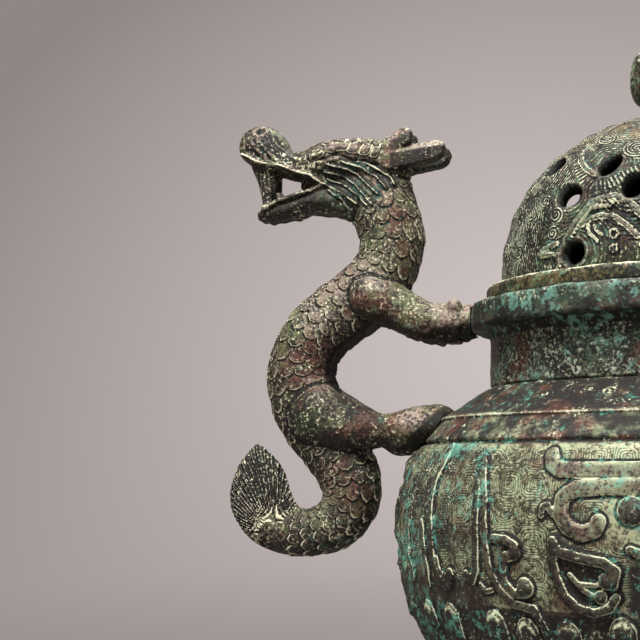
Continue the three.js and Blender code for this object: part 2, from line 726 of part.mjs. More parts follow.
// The rivet's head lies inside the bowl, and its shank ends in the leg
function makeLegRivet() {
  const seat = legSeat();
  const under = -(bowlWall + legRivetStandOff);
  const rivet = turned([
    point(0, under - rivetHeadHeight),
    point(legRivetHeadRadius * 0.7, under - rivetHeadHeight),
    point(legRivetHeadRadius, under - rivetHeadHeight * 0.4),
    point(legRivetHeadRadius, under),
    point(legRivetRadius, under),
    point(legRivetRadius, legRivetReach),
    point(0, legRivetReach),
  ], rivetSides);
  return laidAlong(rivet, seat.foot, seat.way);
}

// Finishes: dark bronze under brown and green patina
const metalness = 0.7;
const finish = (color, roughness) => new THREE.MeshStandardMaterial({ color, roughness, metalness });
const brownBronze = finish(0x4d4037, 0.5);
const greenBronze = finish(0x46554a, 0.55);
const darkBronze = finish(0x35352f, 0.5);

const censer = new THREE.Group();

function place(name, solid, material, angle = 0) {
  const mesh = new THREE.Mesh(geometryOf(solid), material);
  mesh.name = name;
  mesh.rotation.z = angle;
  censer.add(mesh);
}

place('bowl', makeBowl(), greenBronze);
place('neck_collar', makeNeck(), darkBronze);
place('lid', makeLid(), greenBronze);
place('finial_bud', makeFinial(), greenBronze);
place('finial_rove', makeRove(), darkBronze);

const handle = makeHandle();
const rimRivet = makeRimRivet();
const shoulderRivet = makeShoulderRivet();
[['left', Math.PI], ['right', 0]].forEach(([side, angle]) => {
  place(`dragon_handle_${side}`, handle, brownBronze, angle);
  place(`rim_rivet_${side}`, rimRivet, darkBronze, angle);
  place(`shoulder_rivet_${side}`, shoulderRivet, darkBronze, angle);
});

const leg = makeLeg();
const legRivet = makeLegRivet();
['rear', 'front_left', 'front_right'].forEach((where, i) => {
  place(`leg_${where}`, leg, greenBronze, legAngles[i]);
  place(`leg_rivet_${where}`, legRivet, darkBronze, legAngles[i]);
});

export default censer;
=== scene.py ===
import bpy
import math
import numpy as np
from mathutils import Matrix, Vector


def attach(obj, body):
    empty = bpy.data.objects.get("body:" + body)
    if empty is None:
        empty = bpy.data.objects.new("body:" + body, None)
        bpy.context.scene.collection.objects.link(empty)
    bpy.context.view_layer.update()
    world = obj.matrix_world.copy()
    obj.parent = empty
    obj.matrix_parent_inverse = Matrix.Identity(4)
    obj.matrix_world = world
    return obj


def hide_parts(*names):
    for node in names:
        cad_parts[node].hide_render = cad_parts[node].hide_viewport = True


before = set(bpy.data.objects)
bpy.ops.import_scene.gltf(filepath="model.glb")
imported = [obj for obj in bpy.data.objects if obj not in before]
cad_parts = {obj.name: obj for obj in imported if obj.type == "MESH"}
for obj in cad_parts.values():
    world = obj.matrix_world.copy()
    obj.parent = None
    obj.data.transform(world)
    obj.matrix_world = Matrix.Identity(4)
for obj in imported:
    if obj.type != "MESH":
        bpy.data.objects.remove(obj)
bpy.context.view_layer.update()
mm = 0.001
mapWide, mapHigh, mapGap = 0.98, 0.99, 0.005  # shares of its map that a turned piece takes
noRim = -4.0  # rim marks hold the distance to an edge; this far off, none shows
cubeCorners = [(i, j, k) for i in (0, 1) for j in (0, 1) for k in (0, 1)]
bpy.context.scene.view_settings.view_transform = "Standard"


# Sums on arrays
def ease(x):
    x = np.clip(x, 0, 1)
    return x * x * (3 - 2 * x)


def ridge(distance, width):  # 1 on the line, falling softly to 0 at its width
    return ease(1 - np.abs(distance) / width)


def wave(x):  # 1 at whole numbers, 0 half way between
    return np.abs(x % 1 - 0.5) * 2


def bulge(share):  # a round top: 1 in the middle, 0 where the share of its radius is 1
    return np.sqrt(np.clip(1 - share ** 2, 0, 1))


def fused(a, b, soft):  # the nearer of two surfaces, with a filleted joint
    near = np.maximum(soft - np.abs(a - b), 0) / soft
    return np.minimum(a, b) - near * near * soft * 0.25


def threaded(stations, steps):  # a smooth row of stations through the given ones
    s = np.array(stations, float)
    row = np.vstack([2 * s[0] - s[1], s, 2 * s[-1] - s[-2]])
    t = np.arange(steps)[:, None] / steps
    made = []
    for a, b, c, d in zip(row, row[1:], row[2:], row[3:]):
        square = (2 * a - 5 * b + 4 * c - d) * t ** 2
        cube = (3 * b - a - 3 * c + d) * t ** 3
        made.append(0.5 * (2 * b + (c - a) * t + square + cube))
    return np.vstack(made + [s[-1:]])


def blended(lattice, base, f):  # values between the lattice's points, from the eight around each place
    total = 0
    for corner in cubeCorners:
        near = np.abs(1 - np.array(corner) - f)
        at = (base + corner) % lattice.shape
        total = total + near[:, 0] * near[:, 1] * near[:, 2] * lattice[tuple(at.T)]
    return total


def grain(points, size, seed):  # soft noise from -1 to 1, with lumps of the given size
    side = 32
    lattice = np.random.RandomState(seed).rand(side, side, side) * 2 - 1
    q = points / size + 7 * side
    base = np.floor(q).astype(int)
    return blended(lattice, base, ease(q - base))


def pathPlace(u, v, path):  # distance to a row of points, and the share of its length there
    path = np.array(path, float)
    best = np.full(u.shape, 1e9)
    share = np.zeros(u.shape)
    lengths = np.hypot(*np.diff(path, axis=0).T)
    start = np.concatenate([[0], np.cumsum(lengths)])
    for i, (a, b) in enumerate(zip(path[:-1], path[1:])):
        du, dv = b - a
        t = np.clip(((u - a[0]) * du + (v - a[1]) * dv) / max(du * du + dv * dv, 1e-9), 0, 1)
        d = np.hypot(u - a[0] - t * du, v - a[1] - t * dv)
        closer = d < best
        best = np.where(closer, d, best)
        share = np.where(closer, (start[i] + t * lengths[i]) / start[-1], share)
    return best, share


def nearPath(u, v, path):  # the distance alone
    return pathPlace(u, v, path)[0]


def leaned(u, v, lean):  # places along and across an axis at that angle
    return u * math.cos(lean) + v * math.sin(lean), v * math.cos(lean) - u * math.sin(lean)


# Meshes are kept as points in millimetres and arrays of faces with equal corner counts
def sidesOf(faces):
    start = np.concatenate([f.ravel() for f in faces])
    end = np.concatenate([np.roll(f, -1, axis=1).ravel() for f in faces])
    return np.concatenate([start, end]), np.concatenate([end, start])


def relaxed(points, faces, rounds, amount=0.5):
    start, end = sidesOf(faces)
    n = len(points)
    count = np.maximum(np.bincount(start, minlength=n), 1)[:, None]
    moved = points.copy()
    for _ in range(rounds):
        total = np.stack([np.bincount(start, moved[end, i], n) for i in range(3)], 1)
        moved += amount * (total / count - moved)
    return moved


def normalsOf(points, faces):
    total = np.zeros_like(points)
    n = len(points)
    for f in faces:
        corner = points[f]
        across = np.cross(corner, np.roll(corner, -1, axis=1)).sum(axis=1)
        for k in range(f.shape[1]):
            total += np.stack([np.bincount(f[:, k], across[:, i], n) for i in range(3)], 1)
    return total / np.maximum(np.linalg.norm(total, axis=1, keepdims=True), 1e-9)


def pushed(points, faces, height):  # moved out along the normals
    return points + normalsOf(points, faces) * height[:, None]


def weathered(points, faces, rounds, depth):  # where dirt gathers and shade is painted, and where hands rub and highlights are painted
    proud = ((points - relaxed(points, faces, rounds)) * normalsOf(points, faces)).sum(axis=1)
    return {"hollow": np.clip(-proud / depth, 0, 1), "edge": np.clip(proud / depth, 0, 1)}


def addPiece(name, node, points, faces, marks, finish, body, uv):  # stands in for that CAD node
    mesh = bpy.data.meshes.new(name)
    corners = np.concatenate([f.ravel() for f in faces]).astype(np.int32)
    sizes = np.concatenate([np.full(len(f), f.shape[1]) for f in faces])
    starts = np.concatenate([[0], np.cumsum(sizes)[:-1]]).astype(np.int32)
    mesh.vertices.add(len(points))
    mesh.vertices.foreach_set("co", (points * mm).astype(np.float32).ravel())
    mesh.loops.add(len(corners))
    mesh.loops.foreach_set("vertex_index", corners)
    mesh.polygons.add(len(sizes))
    mesh.polygons.foreach_set("loop_start", starts)
    mesh.update(calc_edges=True)
    mesh.shade_smooth()
    for key, value in marks.items():
        mark = mesh.attributes.new(key, "FLOAT", "POINT")
        mark.data.foreach_set("value", value.astype(np.float32))
    layer = mesh.uv_layers.new(name="OFBake")
    layer.uv.foreach_set("vector", uv.astype(np.float32).ravel())
    mesh.materials.append(finish)
    piece = bpy.data.objects.new(name, mesh)
    bpy.context.scene.collection.objects.link(piece)
    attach(piece, body)
    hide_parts(node)
    print("made", name, len(points), "points")


def roundMap(faces, turn, rise):  # a map that goes once round the axis, with one seam
    made = []
    for f in faces:
        u = turn[f]
        wraps = (u.max(axis=1) - u.min(axis=1)) > 0.5
        u = np.where(wraps[:, None] & (u < 0.5), u + 1, u)
        made.append(np.stack([u * mapWide + mapGap, rise[f]], -1).reshape(-1, 2))
    return np.concatenate(made)


# Turned pieces: rows of an outline, each with its own count of columns
def spaced(path, step):
    path = np.array(path, float)
    length = np.concatenate([[0], np.cumsum(np.hypot(*np.diff(path, axis=0).T))])
    at = np.linspace(0, length[-1], max(2, int(round(length[-1] / step)) + 1))
    return np.stack([np.interp(at, length, path[:, 0]), np.interp(at, length, path[:, 1])], 1)


def joinedRows(sections):  # outline rows with their column counts, from (path, step, columns)
    rows = []
    counts = []
    for path, step, columns in sections:
        part = spaced(path, step)
        if rows:
            part = part[1:]
        rows.append(part)
        counts += [columns] * len(part)
    return np.vstack(rows), np.array(counts)


def oval(centreLevel, wide, high, fromAngle, toAngle, steps=40):
    t = np.linspace(fromAngle, toAngle, steps)
    return np.stack([wide * np.cos(t), centreLevel + high * np.sin(t)], 1)


class Turned:  # the grid of a turned piece before it is displaced
    def __init__(self, rows, counts, ring=False):
        self.rows = rows
        self.counts = counts
        self.base = np.concatenate([[0], np.cumsum(counts)[:-1]])
        row = np.repeat(np.arange(len(rows)), counts)
        column = np.concatenate([np.arange(c) for c in counts])
        self.turn = column / counts[row]
        self.row = row
        self.radius = rows[row, 0]
        self.level = rows[row, 1]
        length = np.concatenate([[0], np.cumsum(np.hypot(*np.diff(rows, axis=0).T))])
        self.rise = length[row] / length[-1] * mapHigh + mapGap
        slope = np.gradient(rows, axis=0)
        slope /= np.linalg.norm(slope, axis=1, keepdims=True)
        self.out = np.stack([slope[row, 1], -slope[row, 0]], 1)
        self.faces = self.weave(ring)

    def weave(self, ring):
        quads, fans = [], []
        last = len(self.rows) if ring else len(self.rows) - 1
        for r in range(last):
            s = (r + 1) % len(self.rows)
            a, b = self.counts[r], self.counts[s]
            n = min(a, b)
            k, k2 = np.arange(n), (np.arange(n) + 1) % n
            if a == b:
                quads.append(np.stack([self.base[r] + k, self.base[r] + k2,
                                       self.base[s] + k2, self.base[s] + k], 1))
                continue
            fine, step = max(a, b), max(a, b) // n
            steps = [(k * step + i) % fine for i in range(step + 1)]
            if a > b:
                fan = [self.base[r] + i for i in steps] + [self.base[s] + k2, self.base[s] + k]
            else:
                fan = [self.base[r] + k, self.base[r] + k2] + [self.base[s] + i for i in steps[::-1]]
            fans.append(np.stack(fan, 1))
        faces = [np.vstack(quads)] + fans
        if not ring:
            first, top = self.counts[0], self.counts[-1]
            faces.append((self.base[0] + np.arange(first)[::-1])[None])
            faces.append((self.base[-1] + np.arange(top))[None])
        return faces

    def points(self, height=0.0):
        r = self.radius + self.out[:, 0] * height
        z = self.level + self.out[:, 1] * height
        angle = self.turn * 2 * np.pi
        return np.stack([r * np.cos(angle), r * np.sin(angle), z], 1)

    def map(self):
        return roundMap(self.faces, self.turn, self.rise)


# Shader nodes: a wire is a socket that takes part in sums
class Wire:
    def __init__(self, sheet, socket):
        self.sheet = sheet
        self.socket = socket

    def sum(self, operation, *others):
        return self.sheet.sum(operation, self, *others)

    def __add__(self, other):
        return self.sum("ADD", other)

    def __sub__(self, other):
        return self.sum("SUBTRACT", other)

    def __mul__(self, other):
        return self.sum("MULTIPLY", other)

    def __truediv__(self, other):
        return self.sum("DIVIDE", other)

    def __rsub__(self, other):
        return self.sheet.sum("SUBTRACT", other, self)

    def __rtruediv__(self, other):
        return self.sheet.sum("DIVIDE", other, self)

    __radd__ = __add__
    __rmul__ = __mul__

    def clipped(self):
        return self.sheet.node("ShaderNodeClamp", {}, {"Value": self})

    def between(self, low, high):  # 0 below low, 1 above high, soft in between
        return self.sheet.node("ShaderNodeMapRange", {"interpolation_type": "SMOOTHSTEP"},
                               {"Value": self, "From Min": low, "From Max": high})

    def near(self, place, low, high):  # 1 within low of the place, 0 beyond high
        return 1 - (self - place).sum("ABSOLUTE").between(low, high)

    def wave(self):  # 1 at whole numbers, 0 half way between
        return (self.sum("FRACT") - 0.5).sum("ABSOLUTE") * 2


class Sheet:  # the node tree of one finish
    def __init__(self, name):
        self.material = bpy.data.materials.new(name)
        self.material.use_nodes = True
        self.tree = self.material.node_tree
        self.tree.nodes.clear()

    def node(self, kind, settings=None, values=None, out=0):
        made = self.tree.nodes.new(kind)
        for key, value in (settings or {}).items():
            setattr(made, key, value)
        for key, value in (values or {}).items():
            if isinstance(value, Wire):
                self.tree.links.new(value.socket, made.inputs[key])
            else:
                made.inputs[key].default_value = value
        return Wire(self, made.outputs[out]) if made.outputs else None

    def sum(self, operation, *values):
        return self.node("ShaderNodeMath", {"operation": operation}, dict(enumerate(values)))

    def vector(self, operation, *values, out=0):
        return self.node("ShaderNodeVectorMath", {"operation": operation}, dict(enumerate(values)), out)

    def mark(self, name):
        return self.node("ShaderNodeAttribute", {"attribute_name": name}, out="Fac")

    def noise(self, place, size, detail=4.0, rough=0.6, twist=0.0, shift=None):
        place = self.vector("ADD", place, shift) if shift else place
        values = {"Vector": place, "Scale": 1 / (size * mm), "Detail": detail, "Roughness": rough,
                  "Distortion": twist}
        return self.node("ShaderNodeTexNoise", {"noise_dimensions": "3D"}, values)

    def tinted(self, share, under, over):
        return self.node("ShaderNodeMix", {"data_type": "RGBA"}, {0: share, 6: under, 7: over}, out=2)

    def finish(self, shader):
        self.node("ShaderNodeOutputMaterial", {}, {"Surface": shader})
        return self.material


def colour(red, green, blue):  # screen values from 0 to 255
    def linear(v):
        v /= 255
        return v / 12.92 if v <= 0.04045 else ((v + 0.055) / 1.055) ** 2.4
    return (linear(red), linear(green), linear(blue), 1.0)


# One bronze, weathered by each piece's own amounts
patina = {
    "dark": colour(38, 33, 25),
    "brown": colour(112, 98, 76),
    "red": colour(92, 48, 35),
    "green": colour(72, 94, 56),
    "teal": colour(80, 152, 132),
    "ochre": colour(146, 114, 66),
    "pale": colour(214, 206, 174),
    # the pinkish layer: rubbed wear on edges, and painted highlights where the marks ask for them
    "wornAndLit": colour(164, 148, 134),
    # the darkest layer: dark patina, and painted shade in hollows, holes and under parts
    "shadeAndSoot": colour(20, 18, 14),
    "brownShare": 0.85,
    "redShare": 0.6,
    "greenShare": 0.6,
    "tealShare": 0.4,
    "ochreShare": 0.3,
    "wornAndLitShare": 0.6,
    "paleShare": 0.85,
    "paleFrom": 0.42,
    "hollowPale": 1.0,
    "edgePale": 0.0,
    "hollowShade": 0.0,
    "whorlDepth": 0.9,
    "whorlDark": 0.42,
    "whorlPale": 0.24,
    "rimStep": 0.0,
    "rimPale": 0.75,
    "rimWide": 0.38,
    "pits": 0.8,
    "grains": 0.4,
    "bump": 1.0,
}


def bronze(name, changes, whorls=None):
    look = {**patina, **changes}
    sheet = Sheet(name)
    place = sheet.node("ShaderNodeTexCoord", out="Object")
    broad = sheet.noise(place, 30, 4, 0.6)
    patch = sheet.noise(place, 13, 7, 0.66, 0.4, shift=(0.31, 0.17, 0.05))
    blot = sheet.noise(place, 8, 6, 0.68, 0.3, shift=(0.11, 0.47, 0.23))
    fleck = sheet.noise(place, 3.4, 5, 0.7, shift=(0.71, 0.07, 0.53))
    fine = sheet.noise(place, 1.2, 4, 0.72, shift=(0.05, 0.63, 0.37))
    speck = fine - 0.5
    hollow, edge, rusted = sheet.mark("hollow"), sheet.mark("edge"), sheet.mark("rust")
    crustedAndHighlit, shadedAndSooted, speckled = sheet.mark("crustAndHighlight"), sheet.mark("shadeAndSoot"), sheet.mark("speckle")
    deep = shadedAndSooted.clipped()
    # dark pits, pale grains and the cut lines; the darkest layer also carries painted shade
    pits = speckled * 0.5 + look["pits"]
    shadedAndSooted = shadedAndSooted + (1 - (fine + (blot - 0.5) * 0.3).between(0.38, 0.47)) * pits
    grains = (1 - deep * 0.5) * look["grains"] + speckled * 0.6
    crustedAndHighlit = crustedAndHighlit + (fine - (patch - 0.5) * 0.4).between(0.54, 0.64) * grains
    height = fine * 0.6 + fleck * 0.5
    if whorls:
        lines, ground = whorls(sheet, place)
        shadedAndSooted = shadedAndSooted + (1 - lines) * ground * look["whorlDark"]
        crustedAndHighlit = crustedAndHighlit + lines * ground * look["whorlPale"]
        height = height + lines * ground * look["whorlDepth"]
    if look["rimStep"]:
        # a pale line just inside each raised edge, pale crust and a painted edge highlight, and a dark line
        # just outside it, a painted shadow of the step
        rim = sheet.mark("rim")
        patchy = (blot + speck * 0.6).between(0.36, 0.54) * 0.55 + 0.45
        onRim = rim.near(look["rimWide"] * 0.4, 0.06, look["rimWide"])
        crustedAndHighlit = crustedAndHighlit + onRim * patchy * look["rimPale"]
        shadedAndSooted = shadedAndSooted + rim.near(-0.55, 0.2, 0.65) * 0.95
        height = height + rim.between(-0.55, 0.3) * look["rimStep"]
    # the share of each layer
    tone = (broad - 0.5) * 1.2 + (blot - 0.5) * 1.1 + speck * 2.6
    redShare = (rusted - 1).clipped() * 0.38 + look["redShare"]  # rust above 1 covers all
    redden = (patch + speck * 0.4 + rusted * 0.22).between(0.52, 0.64) * redShare
    greening = blot + speck * 0.5 + sheet.mark("lichen") * 0.2
    greening = greening.between(0.51, 0.63) * look["greenShare"]
    ochring = fleck * 0.5 + broad * 0.5 + speck * 0.4 + sheet.mark("ochre") * 0.2
    ochring = ochring.between(0.53, 0.63) * look["ochreShare"]
    teal = fleck + hollow * 0.08 + speck * 0.4 + (broad - 0.5) * 0.6 + sheet.mark("verdigris") * 0.1
    teal = teal.between(0.57, 0.69) * look["tealShare"]
    # rubbed wear on the edges, and painted highlights from the marks
    rubbedAndHighlit = edge * 0.8 + (patch - 0.5) * 1.5 + speck * 1.4 + sheet.mark("highlightAndWear") * 0.6
    rubbedAndHighlit = rubbedAndHighlit.between(0.12, 0.7) * (1 - deep) * look["wornAndLitShare"]
    # painted shade in the hollows, added to the painted shade and dark patina of the marks
    shadeAndSoot = (hollow + speck * 0.8).between(0.12, 0.6) * look["hollowShade"]
    shadeAndSoot = (shadeAndSoot + shadedAndSooted * (1 + speck * 1.2)).clipped()
    crustAndHighlight = hollow * look["hollowPale"] + edge * (1 - deep) * look["edgePale"]
    crustAndHighlight = crustAndHighlight + crustedAndHighlit + speck * 0.9 + (blot - 0.5) * 0.8
    crustAndHighlight = crustAndHighlight.between(look["paleFrom"], look["paleFrom"] + 0.4) * look["paleShare"]
    # the layers, one over the other
    shade = sheet.tinted((tone + 0.5).between(0.25, 0.75) * look["brownShare"], look["dark"], look["brown"])
    layers = {"red": redden, "green": greening, "ochre": ochring, "wornAndLit": rubbedAndHighlit, "shadeAndSoot": shadeAndSoot,
              "pale": crustAndHighlight, "teal": teal}
    for key, share in layers.items():
        shade = sheet.tinted(share, shade, look[key])
    cover = (crustAndHighlight + greening * 0.7 + teal).clipped()
    rough = 0.47 + cover * 0.25 + shadeAndSoot * 0.25 + speck * 0.4
    metal = (1 - cover) * (1 - shadeAndSoot) * 0.3
    bump = sheet.node("ShaderNodeBump", {}, {
        "Strength": look["bump"], "Distance": 0.4 * mm, "Height": height})
    return sheet.finish(sheet.node("ShaderNodeBsdfPrincipled", {}, {
        "Base Color": shade, "Roughness": rough.clipped(), "Metallic": metal.clipped(),
        "Specular IOR Level": 0.36, "Normal": bump}))


def blobs(u, v, spots):  # soft round patches: place, radius, amount
    total = np.zeros(len(u))
    for cu, cv, radius, amount in spots:
        total = np.maximum(total, amount * np.exp(-((u - cu) ** 2 + (v - cv) ** 2) / radius ** 2))
    return total


# Bowl
bowl = {
    "bellyRadius": 103.4,
    "bellyLevel": 135.0,
    "bellyDepth": 95.0,
    "bellyTop": (94.2, 162.5),
    "band": [(91.6, 163.6), (92.4, 164.5), (92.6, 164.8), (86.3, 172.0), (86.8, 172.5), (86.8, 173.1),
             (85.6, 173.5)],
    "shoulder": [(85.6, 173.5), (80.0, 176.9), (74.0, 181.2), (69.2, 183.9), (68.2, 184.1)],
    "mouth": [(68.2, 184.1), (66.6, 184.1), (66.4, 183.8), (66.4, 178.8), (82.9, 169.2), (89.3, 161.8)],
    "wall": 4.4,
    "columns": 960,
    "fine": 0.7,
    "tongues": [(10.5, 112), (20.2, 110), (28.3, 110), (35.4, 111.4), (47.7, 112), (56.6, 111.4),
                (66, 110.6), (76, 111.6), (86, 110.8)],
    "tongueSize": (4.3, 5.4),  # half width, and height of the round top
    "tongueFoot": 58,
    "nose": (2.8, 112, 160),  # half width in millimetres, foot and top
    "cheek": (13.4, 131, 147.5),  # side in degrees, foot and top
    "eye": (15.9, 121.2, 5.2, 7.6),  # degrees and level of its middle, half sizes
    "besideNose": (10.4, 129),  # side in degrees and top
    "maskFoot": 112,
    "rule": (10, 25),  # degrees between which a dark line runs under the mask
    "sideFoot": (34, 121.5),  # degrees and level of the dark foot beside the mask
    "whorlCell": (5.4, 8.5),
    "whorlMiddle": (25.6, 150.0),
    "whorlPitch": 0.78,
    "whorlLevels": (113, 161.5),
    "crustFrom": 58,  # degrees from the front
    # degrees from the front where painted shade on the flanks starts
    "sideShadeFrom": 30,
    "crustLevels": ((156, 7), (112, 18)),  # where crust is thickest, and how far that reaches
    "bandLevel": 163,
    "bandFoot": (90, 163.2),  # least radius and level of the painted shadow line under the band
    "bandEdge": (84, 172.9),  # least radius and level of the pale line
    "shoulderLevel": 173.3,
    "neckFootRadius": 71.4,
}
perDegree = math.radians(bowl["bellyRadius"])

# The belly's ornament, as degrees from the front and levels, repeated in mirror image on each quarter
straps = [  # path, width, height, darkness
    ([(50.6, 161), (50.7, 156.6), (51.6, 150.7), (51.3, 141.6), (50.7, 134.4), (50.3, 126.5), (49.6, 121),
      (48, 117.4), (46.2, 118.2), (45.2, 121.6)], 3.4, 1.3, 0.8),
    ([(49, 126), (48.4, 121.6), (46.9, 120.4), (45.2, 122.4)], 1.5, 1.5, 0.75),
    ([(54.2, 137), (53.7, 130.2), (53.3, 122.2), (53.6, 117)], 2.6, 1.3, 0.8),
    ([(68, 160), (69.5, 152), (70, 142), (69, 130), (66.6, 121), (63.4, 117.2), (60.8, 119)], 3.2, 1.3, 0.8),
    ([(61.5, 137), (62, 128), (61, 121)], 2.4, 1.2, 0.8),
    ([(79.4, 160), (80.6, 148), (80.4, 136), (79, 126), (76.2, 120.2), (73.4, 119.4)], 3.2, 1.3, 0.8),
    ([(39, 157.9), (37.7, 145.1), (37.4, 132.7), (37.8, 123.6), (39, 120), (40.5, 121.8)], 2.7, 1.4, 0.88),
    ([(38.2, 157.3), (35.7, 145.1), (35.2, 132.9), (34.6, 123.7), (32.9, 118.4), (30.1, 114.1), (26, 113.1),
      (24.6, 108.2), (23.9, 103), (23.6, 97)], 2.6, 1.6, 0.7),
    ([(37, 119.2), (36, 117), (34.6, 117.6)], 1.5, 1.5, 0.5),
    ([(33.1, 133.6), (30.4, 133.4), (28.5, 131.6), (28.7, 128.8), (30.2, 128)], 2.6, 2.0, 0.7),
    ([(30.6, 128.6), (31.4, 124.8), (31.4, 120.6), (29.4, 117.2), (27.2, 117.6)], 2.6, 2.0, 0.7),
    ([(21.4, 133.5), (20.3, 130.6), (16.8, 129), (12.7, 127.9), (10.8, 125.5), (11.4, 121.6)],
     3.0, 2.8, 0.8),
    ([(21.4, 133.3), (21.4, 128.8), (20.9, 123.4), (19.6, 117.8), (17.4, 114.2), (14.8, 113.2),
      (12.2, 114.8), (11, 118)], 2.6, 2.4, 0.8),
    ([(18.6, 124), (16.4, 119.6), (13.8, 117.2)], 1.6, 1.8, 0.5),
    ([(17, 121.4), (14.2, 121.2)], 1.4, 1.8, 0.5),
    ([(23.6, 140.9), (23.5, 143.4), (22.5, 144.2), (21.6, 141.4)], 1.8, 1.4, 0.6),
    ([(8.4, 131.6), (5.2, 129.6), (3.4, 124), (3.8, 116), (6.4, 112.6)], 2.6, 2.4, 0.8),
]
bands = [  # broad smooth bands between grooves: path, width, height
    ([(23.4, 159), (22.8, 156.4), (21, 154.6), (17.1, 154.4), (3.4, 154.6)], 4.4, 0.9),
    ([(3.4, 149.6), (13.5, 149.4), (17.9, 148.9), (19.9, 146.2), (20.2, 141.6), (18.8, 137.6), (16.5, 135.9),
      (14.2, 137.1), (13.6, 139.4)], 4.4, 1.3),
]
bosses = [(28.9, 129.6, 2.2, 2.2), (27.2, 119.4, 3.0, 3.0), (12.4, 122.6, 2.6, 2.8), (13.6, 117.8, 2.0, 2.2),
          (8.2, 142.6, 4.2, 2.4)]  # degrees, level, radius, height


def bowlRelief(turned, carvedRows):
    degrees = np.abs((turned.turn * 360 - 270 + 180) % 360 - 180)
    degrees = np.minimum(degrees, 180 - degrees)
    u = degrees * perDegree
    outside = (turned.row >= carvedRows[0]) & (turned.row <= carvedRows[-1])
    forms = {key: np.zeros(len(u)) for key in ("height", "raised", "shadeAndSoot", "crustAndHighlight", "highlightAndWear", "rim")}
    quarter = outside & (turned.turn >= 0.5) & (turned.turn <= 0.75)
    uq, zq, aside = u[quarter], turned.level[quarter], degrees[quarter]
    h, lift, dark, pale, smooth = np.zeros((5, len(uq)))
    rim = np.full(len(uq), noRim)
    for path, width, high, deep in straps:
        d = nearPath(uq, zq, [(a * perDegree, b) for a, b in path])
        flat = ease((width / 2 + 0.6 - d) / 1.1)
        rims = ridge(d - width / 2 + 0.4, 0.9) * min(0.55, 0.3 * width - 0.4)
        h = np.maximum(h, high * flat * 0.75 + rims * (flat > 0))
        lift = np.maximum(lift, flat)
        dark = np.maximum(dark, deep * ease((width / 2 + 0.3 - d) / 0.6))
        rim = np.maximum(rim, width / 2 - d)
    for path, width, high in bands:
        d = nearPath(uq, zq, [(a * perDegree, b) for a, b in path])
        flat = ease((width / 2 + 0.3 - d) / 0.7)
        groove = ridge(d - width / 2 - 0.6, 0.7)
        h = np.maximum(h, high * flat) - 0.55 * groove
        lift = np.maximum(lift, ease((width / 2 + 1.2 - d) / 0.6))
        shade = 0.5 * np.maximum(groove, ease((width / 2 - 0.3 - d) / 0.8))
        dark = np.maximum(dark * (1 - flat), shade)
        rim = np.maximum(rim, width / 2 + 0.2 - d)
        smooth = np.maximum(smooth, 0.15 * flat)
    for angle, level, radius, high in bosses:
        d = np.hypot(uq - angle * perDegree, zq - level)
        h = np.maximum(h, high * bulge(d / radius))
        lift = np.maximum(lift, ease((radius + 0.6 - d) / 0.6))
        ball = ease((radius - d) / 0.5)
        dark = np.maximum(dark * (1 - ball), 0.88 * ball)
        rim = np.maximum(rim, radius - d)
    # nose ridge at the middle of the mask
    half, foot, top = bowl["nose"]
    nose = ease((half - uq) / 0.9) * ease((zq - foot) / 4) * ease((top - zq) / 3)
    h = np.maximum(h, 2.6 * nose)
    lift = np.maximum(lift, nose)
    # smooth cheek of the mask beside the nose
    edge, foot, top = bowl["cheek"]
    cheek = ease((edge - aside) / 1.5) * ease((zq - foot) / 2) * ease((top - zq) / 2)
    h = np.maximum(h, 0.5 * cheek)
    lift = np.maximum(lift, cheek)
    # painted shade in the hollows of the leaf-shaped eye and beside the nose
    bare = 1 - ease(lift * 2)
    eyeAside, eyeLevel, wide, tall = bowl["eye"]
    hollow = ease(1.4 - np.hypot((aside - eyeAside) / wide, (zq - eyeLevel) / tall)) * bare
    edge, top = bowl["besideNose"]
    hollow = np.maximum(hollow, ease((edge - aside) / 2) * ease((top - zq) / 3) * bare)
    hollow *= ease((zq - bowl["maskFoot"]) / 1.5)
    h -= 0.5 * hollow
    dark = np.maximum(dark, 0.97 * hollow)
    lift = np.maximum(lift, hollow)
    # tongues on the lower belly, each with a painted highlight along its top
    lower = ease((bowl["maskFoot"] + 0.6 - zq) / 1.5)
    edge, top = bowl["sideFoot"]
    besideLow = ease((top - zq) / 3) * ease((aside - edge) / 4)
    # painted shade over the lower belly, and a dark foot beside the mask
    dark = np.maximum.reduce([dark, 0.96 * lower, 0.78 * besideLow])
    lift = np.maximum(lift, besideLow)
    tongueHalf, tongueTop = bowl["tongueSize"]
    for angle, top in bowl["tongues"]:
        x = (aside - angle) * perDegree
        lap = np.hypot(x / tongueHalf, np.maximum(zq - top + tongueTop, 0) / tongueTop)
        tongue = bulge(lap) * ease((zq - bowl["tongueFoot"]) / 5)
        h = np.maximum(h, 1.9 * tongue)
        # painted highlight along the top of each tongue
        crown = ridge(lap - 0.72, 0.22) * ease((zq - top + 4.6) / 2)
        dark = dark * (1 - crown)
        pale = np.maximum(pale, 0.7 * crown)
        rim = np.maximum(rim, np.where(zq > bowl["tongueFoot"] + 2, (1 - lap) * tongueHalf, noRim))
    start, end = bowl["rule"]
    rule = ridge(zq - bowl["maskFoot"] - 0.2, 0.5) * ease(end - aside) * ease(aside - start)
    dark = np.maximum(dark, 0.8 * rule)
    lift = np.maximum(lift, lower)
    for key, value in zip(forms, (h, lift, dark, pale, smooth, rim)):
        forms[key][quarter] = value
    # copy the quarter to the other three by its own mirror columns
    n = bowl["columns"]
    for row in carvedRows:
        at = turned.base[row]
        part = np.arange(n // 2, n * 3 // 4 + 1)
        for columns in ((n * 3 // 2 - part) % n, (part + n // 2) % n, (n - part) % n):
            for values in forms.values():
                values[at + columns] = values[at + part]
    return forms, u, outside


